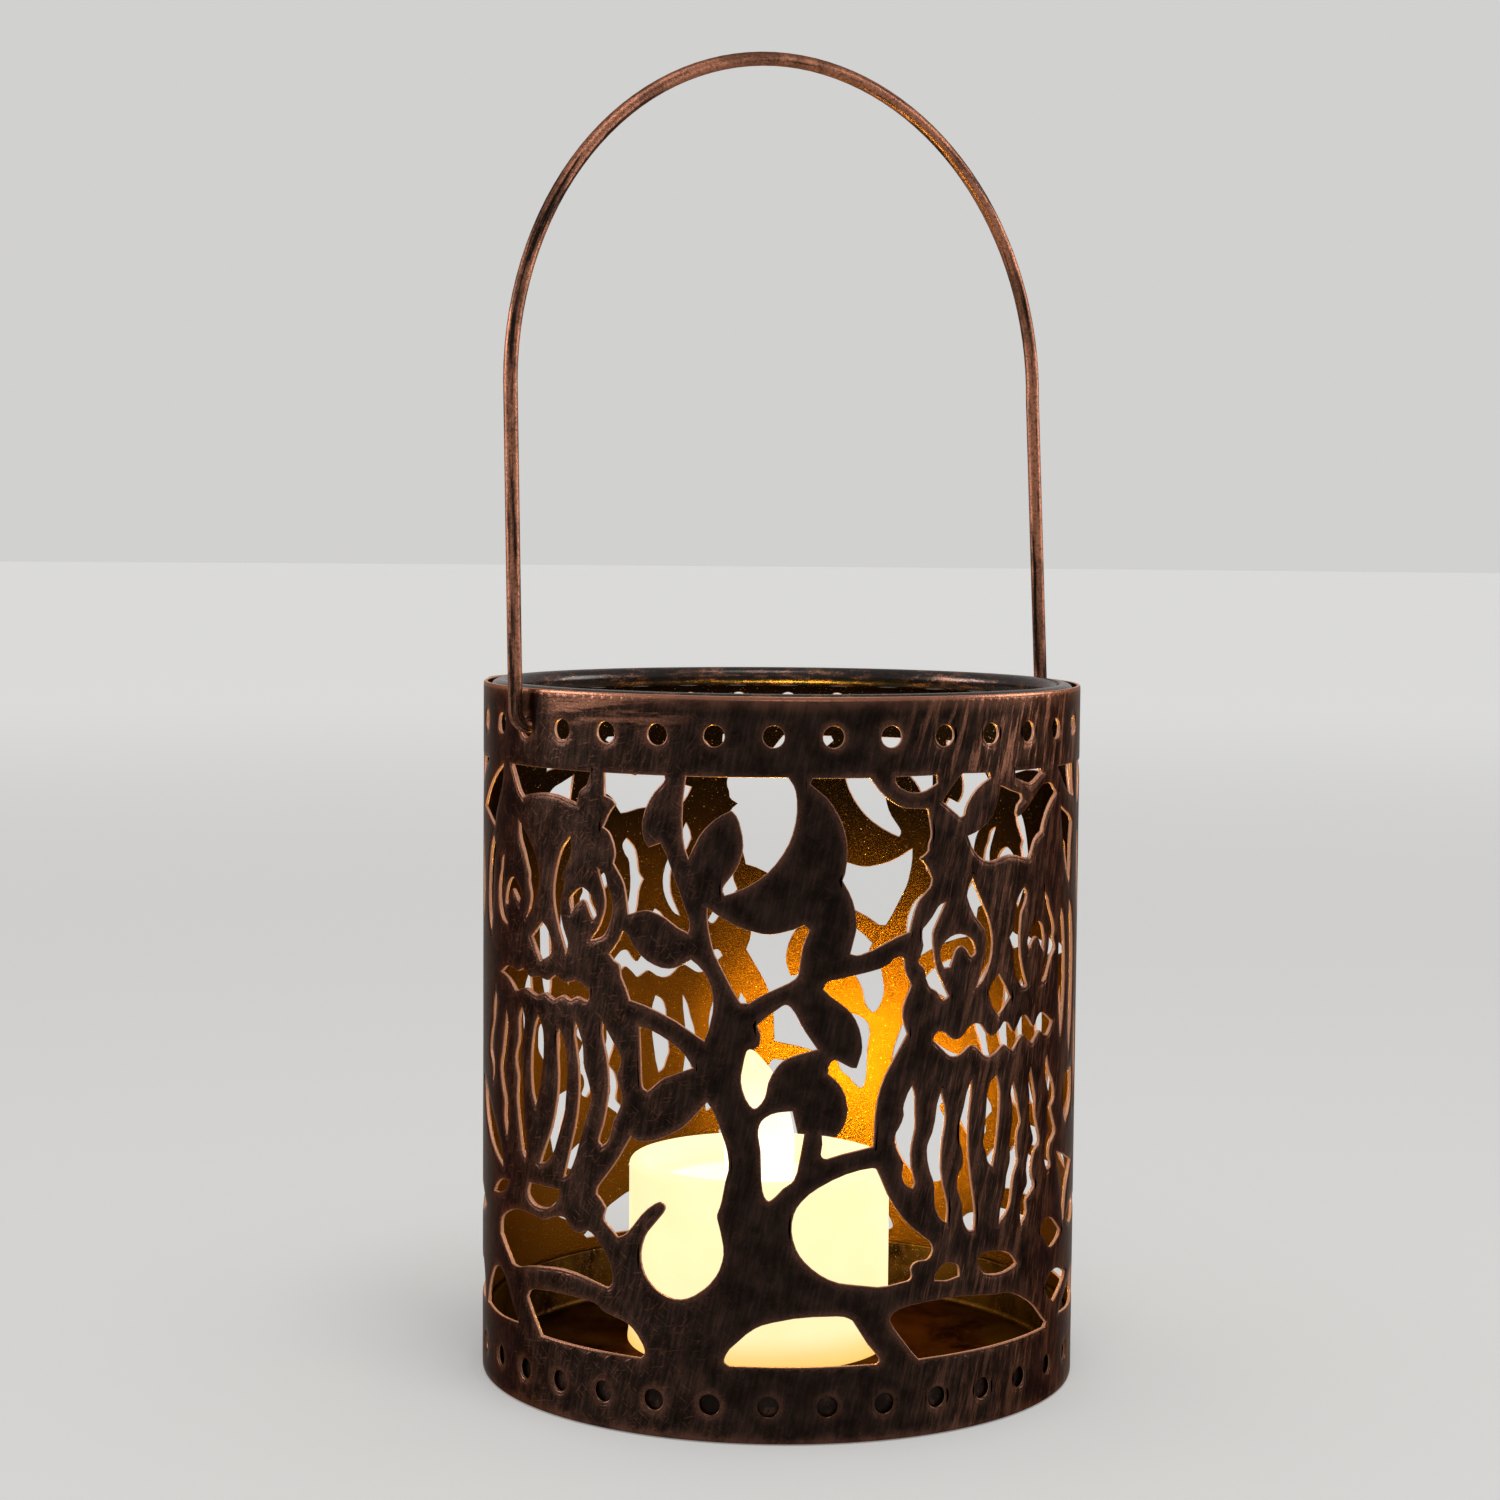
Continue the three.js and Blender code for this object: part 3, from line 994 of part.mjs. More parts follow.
// Base with a cell well, a bayonet groove for the door and a slot for the switch
const switchX = wallRingRadius + 1.6;
const slotHalf = switchTravel / 2 + 1.1 + fit;
const baseRing = turned([
  [baseRadius, 0],
  [baseRadius, 1.9],
  [wallRingRadius, 1.9],
  [wallRingRadius, ringTop],
  [wallRingRadius - 1, ringTop],
  [wallRingRadius - 1, cellTop + 1.8],
  [wellRadius, cellTop + 1.8],
  [wellRadius, cellBottom - 0.4],
  [grooveRadius, cellBottom - 0.4],
  [grooveRadius, 1.9],
  [doorRadius + fit, 1.9],
  [doorRadius + fit, 0],
], 32);
const lugNotches = [55, 235].map((angle) => {
  const notch = block(doorRadius - 1, grooveRadius, -4.2, 4.2, -1, 2.4);
  notch.rotateZ((angle * Math.PI) / 180);
  return notch;
});
const contactNotch = block(-wallRingRadius - 0.5, 0.1 - cellRadius, -2.8, 2.8, cellBottom - 0.1, ringTop + 1);
const switchSlot = block(switchX - 0.95, switchX + 0.95, -slotHalf, slotHalf, -1, 3);
const candleBase = less(baseRing, ...lugNotches, contactNotch, switchSlot);
addCandlePiece("candle_base", candleBase, "#e9e2d0", 0.5, 0);

addCandlePiece("coin_cell", upright(cellRadius, cellBottom, cellTop, 32), "#b9bcc0", 0.25, 1);

addCandlePiece(
  "contact_positive",
  block(-wellRadius - 0.4, -wellRadius, -2, 2, cellBottom + 0.2, ringTop),
  "#c9b26a", 0.3, 1,
);

addCandlePiece("contact_negative", plus(
  block(-4, 5, -2, 2, cellTop + fit, cellTop + fit + 0.4),
  block(4.6, 5, -2, 2, cellTop + fit, ringTop),
), "#c9b26a", 0.3, 1);

addCandlePiece("switch_slider", plus(
  block(switchX - 1.2, switchX + 1.1, -2.5, 2.5, 2.2, 4.2),
  block(switchX - 0.6, switchX + 0.6, -1.1, 1.1, 0.3, 3),
), "#1c1c1e", 0.5, 0);

addCandlePiece("switch_leaf", plus(
  block(switchX - 1, switchX + 0.4, -1.2, 1.2, ringTop - 0.4, ringTop),
  block(switchX - 0.1, switchX + 0.3, -1.2, 1.2, 4.2 + fit, ringTop - 0.1),
), "#c9b26a", 0.3, 1);

// Battery door with two bayonet lugs and a coin slot
const lugReach = Math.sqrt((grooveRadius - fit) ** 2 - 3.3 ** 2);
const door = less(
  plus(
    upright(doorRadius, 0.3, 1.7, 32),
    upright(cellRadius - 0.5, 1.5, cellBottom - fit, 32),
    block(-lugReach, lugReach, -3.3, 3.3, 2.2, 3.2),
  ),
  block(-6, 6, -0.9, 0.9, -1, 1.1),
);
addCandlePiece("battery_door", door, "#ddd5c2", 0.55, 0);

export default group;
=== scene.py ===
# Pierced sheet-metal lantern with a wire bail and a lit battery candle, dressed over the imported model
import math
import bmesh
import bpy
from mathutils import Matrix, Vector
from mathutils.geometry import delaunay_2d_cdt
from mathutils.kdtree import KDTree


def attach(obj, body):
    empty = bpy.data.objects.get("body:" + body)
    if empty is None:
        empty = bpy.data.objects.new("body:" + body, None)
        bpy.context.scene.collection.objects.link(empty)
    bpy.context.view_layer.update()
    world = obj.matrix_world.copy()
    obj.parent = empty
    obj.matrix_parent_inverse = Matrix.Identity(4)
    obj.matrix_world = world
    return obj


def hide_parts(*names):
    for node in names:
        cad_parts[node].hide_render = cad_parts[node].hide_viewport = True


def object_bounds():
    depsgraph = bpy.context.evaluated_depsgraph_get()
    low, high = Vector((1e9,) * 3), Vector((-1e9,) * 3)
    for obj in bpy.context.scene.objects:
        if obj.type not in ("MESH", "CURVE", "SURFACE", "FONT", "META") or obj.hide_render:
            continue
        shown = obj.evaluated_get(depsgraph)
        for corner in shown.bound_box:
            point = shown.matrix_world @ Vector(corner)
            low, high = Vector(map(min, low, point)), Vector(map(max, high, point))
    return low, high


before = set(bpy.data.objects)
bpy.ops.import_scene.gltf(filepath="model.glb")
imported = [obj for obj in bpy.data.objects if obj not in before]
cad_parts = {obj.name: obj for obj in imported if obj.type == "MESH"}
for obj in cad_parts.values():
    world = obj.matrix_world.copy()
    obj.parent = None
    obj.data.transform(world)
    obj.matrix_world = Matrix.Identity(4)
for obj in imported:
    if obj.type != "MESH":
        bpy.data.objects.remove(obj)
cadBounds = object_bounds()
mm = 0.001
treeAzimuth = math.radians(-36.24)  # where the middle of the tree side faces, seen from above
print("frame loaded:", ", ".join(sorted(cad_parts)))


# Shader maths: a Wire is one output of a node, and arithmetic on it adds Math nodes

class Wire:
    def __init__(self, paint, socket):
        self.paint = paint
        self.socket = socket

    def maths(self, operation, *values):
        return self.paint.node("Math", {"operation": operation}, dict(enumerate(values)))

    def __add__(self, other):
        return self.maths("ADD", self, other)

    __radd__ = __add__

    def __sub__(self, other):
        return self.maths("SUBTRACT", self, other)

    def __rsub__(self, other):
        return self.maths("SUBTRACT", other, self)

    def __mul__(self, other):
        return self.maths("MULTIPLY", self, other)

    __rmul__ = __mul__

    def __pow__(self, other):
        return self.maths("POWER", self, other)

    def most(self, other):
        return self.maths("MAXIMUM", self, other)

    def least(self, other):
        return self.maths("MINIMUM", self, other)

    def rising(self, low, high):  # 0 below low, 1 above high, smooth between
        settings = {"interpolation_type": "SMOOTHSTEP"}
        return self.paint.node("MapRange", settings, {"Value": self, "From Min": low, "From Max": high})


class Paint:
    def __init__(self, name, owner=None):
        self.material = owner or bpy.data.materials.new(name)
        self.material.use_nodes = True
        self.material.node_tree.nodes.clear()

    def node(self, kind, settings=None, values=None, output=0):
        tree = self.material.node_tree
        made = tree.nodes.new("ShaderNode" + kind)
        for name, value in (settings or {}).items():
            setattr(made, name, value)
        for name, value in (values or {}).items():
            if isinstance(value, Wire):
                tree.links.new(value.socket, made.inputs[name])
            else:
                made.inputs[name].default_value = value
        return Wire(self, made.outputs[output]) if made.outputs else None

    def mix(self, factor, first, second):
        first, second = ((*c, 1) if isinstance(c, tuple) else c for c in (first, second))
        return self.node("Mix", {"data_type": "RGBA"}, {0: factor, 6: first, 7: second}, 2)

    def place(self, attribute=None, scale=(1, 1, 1), turn=0):
        if attribute:
            place = self.node("Attribute", {"attribute_name": attribute}, output="Vector")
        else:
            place = self.node("TexCoord", output="Object")
        # the texture kind turns first and stretches after, so the stretch leans with the turn
        values = {"Vector": place, "Scale": tuple(1 / size for size in scale), "Rotation": (0, 0, turn)}
        return self.node("Mapping", {"vector_type": "TEXTURE"}, values)

    def millimetres(self):
        return self.place(scale=(1 / mm, 1 / mm, 1 / mm))

    def part(self, vector, axis):
        return self.node("SeparateXYZ", values={"Vector": vector}, output=axis)

    def mark(self, name):  # a number that the mesh carries at each vertex
        return self.node("Attribute", {"attribute_name": name}, output="Fac")

    def grain(self, place, scale, detail=3, roughness=0.55):
        values = {"Vector": place, "Scale": scale, "Detail": detail, "Roughness": roughness}
        return self.node("TexNoise", values=values)

    def bump(self, height, distance, strength):
        return self.node("Bump", values={"Height": height, "Distance": distance, "Strength": strength})

    def finish(self, **values):
        shader = self.node("BsdfPrincipled", values={name.replace("_", " "): v for name, v in values.items()})
        self.node("OutputMaterial", values={"Surface": shader})
        return self.material


# Lantern metal: slate-brown paint, rubbed over with copper that stays along the edges

lanternPaint = {
    "dark": (0.0074, 0.0051, 0.0041),
    "slate": (0.0200, 0.0129, 0.0102),
    "film": (0.100, 0.045, 0.0305),
    "copper": (0.42, 0.172, 0.102),
    "cut": (0.78, 0.40, 0.24),
    # the inside colours: an orange inner paint that also carries a painted candle glow, and a dark tone that
    # is painted shade high up inside the wall and dark patches in the tray
    "inside": (0.120, 0.044, 0.0040),
    "insideShadeAndPatchTone": (0.013, 0.0065, 0.0026),
    # the tray's inner faces: inner paint that also carries a painted candle glow
    "trayInsideWithGlow": (0.095, 0.0480, 0.0090),
    "gold": (1.0, 0.66, 0.24),
    "metallic": 0.95,
    "grazing": (0.45, 0.38, 0.34, 1),
}
wallWear = {
    "topBand": (96, 99.5),  # each pair of heights in mm is where a zone fades in: of wear, and high on the inner wall of painted shade
    "topEdge": (107.2, 110.2),
    # a bright copper line on the top edge: worn metal and a painted highlight
    "topWornHighlightLine": (109.25, 109.7),
    "footEdge": (0.2, 2.2),
    "footRow": (9, 12),
    # painted shade: the inner wall turns dark towards the top, away from the candle
    "insideShadeAbove": (50, 90),
    "scuffHeight": (104.6, 106),
    "rightSide": (14, 34),  # and each of these pairs is measured round the wall
    "rightFade": (75, 110),
    "leftFade": (-20, -4),
    "leftBack": (140, 180),
    "scuffStart": (-42, -34),
    "scuffEnd": (-20, -12),
    "brushLeans": {"upright": -12, "leaning": -15, "level": 2},  # degrees
    "brushLength": 0.10,
    "film": {"rubbed": 0.80, "halo": 0.75, "topEdge": 0.7, "footEdge": 0.6, "scuffed": 0.7, "brushed": 0.6},
    "bare": {"brushed": 0.48, "scuffed": 0.34, "topEdge": 0.12, "topWornHighlightLine": 0.6},
    "crossedHairs": (38, -52, 78),
    "roughness": 0.34,
    "bumpHeight": 0.14 * mm,
}


# Fine scratches that run one way; turn is the angle from upright in degrees
def hairs(paint, turn, length=0.09, width=3.4, rare=0.62):
    place = paint.place("unrolled", (1, length, 1), math.radians(-turn))
    return paint.grain(place, width, 2, 0.5).rising(rare, rare + 0.08)


# Rises from low to 1 as the mask goes from start to end
def risingFrom(mask, low, start, end):
    return low + (1 - low) * mask.rising(start, end)


def weighed(shares, masks):
    return sum(masks[name] * share for name, share in shares.items())


def wallMetal():
    paint = Paint("wallMetal")
    wall = paint.place("unrolled")
    across = paint.part(wall, "X")
    height = paint.part(wall, "Y")
    outside = paint.mark("outside").rising(0.35, 0.65)
    nearEdge = paint.mark("nearEdge")
    cutEdge = paint.mark("cutEdge")
    zone = {name: across.rising(*wallWear[name])
            for name in ("rightSide", "rightFade", "leftFade", "leftBack", "scuffStart", "scuffEnd")}
    for name in ("topBand", "topEdge", "topWornHighlightLine", "footEdge", "footRow", "insideShadeAbove", "scuffHeight"):
        zone[name] = height.rising(*wallWear[name])
    fine = paint.grain(wall, 2.6, 4, 0.7)
    speck = paint.grain(wall, 3.6, 1)
    blotches = paint.grain(wall, 0.20, 4, 0.6)
    broad = paint.grain(wall, 0.055, 2)
    short = wallWear["brushLength"]
    leans = {name: math.radians(lean) for name, lean in wallWear["brushLeans"].items()}
    upright = paint.grain(paint.place("unrolled", (1, short, 1), leans["upright"]), 2.2, 5, 0.7)
    leaning = paint.grain(paint.place("unrolled", (1, short, 1), leans["leaning"]), 0.75, 5, 0.66)
    level = paint.grain(paint.place("unrolled", (short, 1, 1), leans["level"]), 0.62, 5, 0.66)
    rightSide = zone["rightSide"] * (1 - 0.6 * zone["rightFade"])
    leftSide = (1 - zone["leftFade"]).most(zone["leftBack"])
    rubbed = upright.rising(0.38, 0.72) * (0.30 + 0.55 * blotches.rising(0.38, 0.66))
    rubbed = rubbed * (0.45 + 0.55 * leftSide.most(rightSide))
    brushed = leaning.rising(0.50, 0.62) * rightSide * (0.30 + 0.70 * zone["topBand"])
    scuffed = level.rising(0.44, 0.60) * zone["scuffStart"] * (1 - zone["scuffEnd"]) * zone["scuffHeight"]
    halo = (nearEdge ** 1.4) * risingFrom(fine, 0.30, 0.30, 0.62) * risingFrom(broad, 0.30, 0.36, 0.60)
    masks = {
        "rubbed": rubbed,
        "halo": halo * (1 - 0.5 * rightSide),
        "topEdge": zone["topEdge"] * risingFrom(blotches, 0.35, 0.35, 0.6),
        # worn copper on the top edge, brightened into a painted highlight line
        "topWornHighlightLine": zone["topWornHighlightLine"] * risingFrom(fine, 0.55, 0.30, 0.50),
        "footEdge": (1 - zone["footEdge"]) * blotches.rising(0.38, 0.62),
        "scuffed": scuffed * risingFrom(fine, 0.45, 0.35, 0.6),
        "brushed": brushed * risingFrom(fine, 0.55, 0.35, 0.6),
    }
    film = weighed(wallWear["film"], masks).least(1.0)
    first, second, third = (hairs(paint, turn) for turn in wallWear["crossedHairs"])
    crossed = first.most(second).most(third) * (0.15 + 0.85 * leftSide)
    scratched = crossed * 0.17 * fine.rising(0.3, 0.6) + hairs(paint, 12, 0.06, 3.0) * 0.25 * rightSide
    bright = weighed(wallWear["bare"], masks) + scratched
    bareEdge = cutEdge.rising(0.60, 0.95) * (0.15 + 0.85 * zone["footRow"])
    lip = cutEdge.rising(0.15, 0.60) * (0.12 + 0.45 * masks["halo"]) * (0.30 + 0.70 * zone["footRow"])
    copper = (bright * outside).most(lip).least(1.0)
    coat = paint.mix(blotches.rising(0.32, 0.70), lanternPaint["dark"], lanternPaint["slate"])
    coat = paint.mix(film, coat, lanternPaint["film"])
    # the inner wall: orange paint with a painted candle glow, fading upward into painted shade
    inside = paint.mix(zone["insideShadeAbove"], lanternPaint["inside"], lanternPaint["insideShadeAndPatchTone"])
    inside = paint.mix(speck.rising(0.73, 0.77) * 0.9, inside, lanternPaint["gold"])
    colour = paint.mix(copper, paint.mix(outside, inside, coat), lanternPaint["copper"])
    colour = paint.mix(bareEdge * risingFrom(fine, 0.7, 0.3, 0.5), colour, lanternPaint["cut"])
    rough = wallWear["roughness"] + 0.12 * (fine - 0.5) + 0.12 * (blotches - 0.5) - 0.05 * nearEdge * outside
    relief = fine * (1.9 - 1.6 * outside) + speck * (0.7 - 0.45 * outside) + copper * 0.25
    relief = relief - (nearEdge ** 2) * 1.1 * outside
    return paint.finish(
        Base_Color=colour,
        Metallic=(1.0 - (1 - lanternPaint["metallic"]) * outside) * (1 - 0.45 * bareEdge),
        Roughness=rough + 0.10 * bareEdge,
        Specular_Tint=lanternPaint["grazing"],
        Normal=paint.bump(relief, wallWear["bumpHeight"], 0.6),
    )


def plainMetal(name, finish, wearMark=None, inside=None):
    paint = Paint(name)
    gloss, spread = finish["gloss"], finish["spread"]
    place = paint.millimetres()
    fine = paint.grain(place, 2.4, 4, 0.7)
    patches = paint.grain(place, 0.09, 3)
    streaks = paint.grain(paint.place(wearMark, finish["stretch"]), 1.0, 4, 0.65)
    worn = streaks.rising(0.52 - spread, 0.66 - spread) * risingFrom(fine, 0.4, 0.36, 0.56)
    worn = worn * (spread * 4 + patches.rising(0.42, 0.58)).least(1.0)
    dusting = fine.rising(0.56, 0.70) * (0.15 + 0.35 * patches.rising(0.42, 0.62))
    copper = ((worn + dusting) * finish["copper"]).least(0.9)
    coat = paint.mix(patches.rising(0.35, 0.68), lanternPaint["dark"], lanternPaint["slate"])
    metallic = lanternPaint["metallic"] - 0.15 * (1 - copper)
    if inside:
        facing = inside(paint)
        speck = paint.grain(place, 5.0, 2).rising(0.66, 0.72) * 0.5
        uneven = patches.rising(0.35, 0.68)
        # inner faces of the tray: paint with a painted candle glow, broken by dark patches
        painted = paint.mix(uneven, lanternPaint["trayInsideWithGlow"], lanternPaint["insideShadeAndPatchTone"])
        coat = paint.mix(facing, coat, paint.mix(speck, painted, lanternPaint["gold"]))
        metallic = metallic.most(facing)
    colour = paint.mix(copper, coat, lanternPaint["copper"])
    return paint.finish(
        Base_Color=colour,
        Metallic=metallic,
        Roughness=0.46 - gloss + 0.14 * (fine - 0.5) + 0.06 * copper,
        Specular_Tint=lanternPaint["grazing"],
        Coat_Weight=finish["lacquer"],
        Coat_Roughness=0.22,
        Normal=paint.bump(fine + copper * 0.4, 0.10 * mm, 0.5 - gloss),
    )


# Mesh helpers

def newPiece(name, mesh, material, body, replaced):
    piece = bpy.data.objects.new(name, mesh)
    bpy.context.collection.objects.link(piece)
    mesh.materials.clear()
    mesh.materials.append(material)
    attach(piece, body)
    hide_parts(replaced)
    return piece


def smoothShade(mesh):
    mesh.polygons.foreach_set("use_smooth", [True] * len(mesh.polygons))


def meshFrom(bm, name):
    mesh = bpy.data.meshes.new(name)
    bm.to_mesh(mesh)
    bm.free()
    smoothShade(mesh)
    return mesh


def roundTurns(count):
    return [2 * math.pi * step / count for step in range(count)]


# A turned piece from a [radius, height] profile in mm that starts and ends on the axis or closes
def turnedMesh(name, profile, centre=(0, 0, 0), steps=96, closed=False):
    bm = bmesh.new()
    rings = []
    for radius, height in profile:
        if radius < 1e-6:
            rings.append([bm.verts.new((0, 0, height))])
            continue
        turns = roundTurns(steps)
        rings.append([bm.verts.new((radius * math.cos(a), radius * math.sin(a), height)) for a in turns])
    pairs = list(zip(rings, rings[1:]))
    if closed:
        pairs.append((rings[-1], rings[0]))
    for low, high in pairs:
        for step in range(steps):
            after = (step + 1) % steps
            corners = [low[step % len(low)], low[after % len(low)]]
            corners += [high[after % len(high)], high[step % len(high)]]
            face = list(dict.fromkeys(corners))
            if len(face) > 2:
                bm.faces.new(face)
    placed = Matrix.Translation(Vector(centre) * mm) @ Matrix.Scale(mm, 4)
    bmesh.ops.transform(bm, matrix=placed, verts=bm.verts)
    return meshFrom(bm, name)


# Rounds the corners of a profile: each [radius, height, round] corner becomes a short arc
def roundedProfile(corners, closed=False, steps=4):
    path = []
    count = len(corners)
    for index, corner in enumerate(corners):
        here = Vector(corner[:2])
        size = corner[2] if len(corner) > 2 else 0
        if size == 0 or (not closed and index in (0, count - 1)):
            path.append(tuple(here))
            continue
        before = Vector(corners[index - 1][:2]) - here
        after = Vector(corners[(index + 1) % count][:2]) - here
        reach = min(size, before.length * 0.49, after.length * 0.49)
        start = here + before.normalized() * reach
        end = here + after.normalized() * reach
        for step in range(steps + 1):
            t = step / steps
            point = start * (1 - t) ** 2 + here * 2 * t * (1 - t) + end * t ** 2
            path.append(tuple(point))
    return path


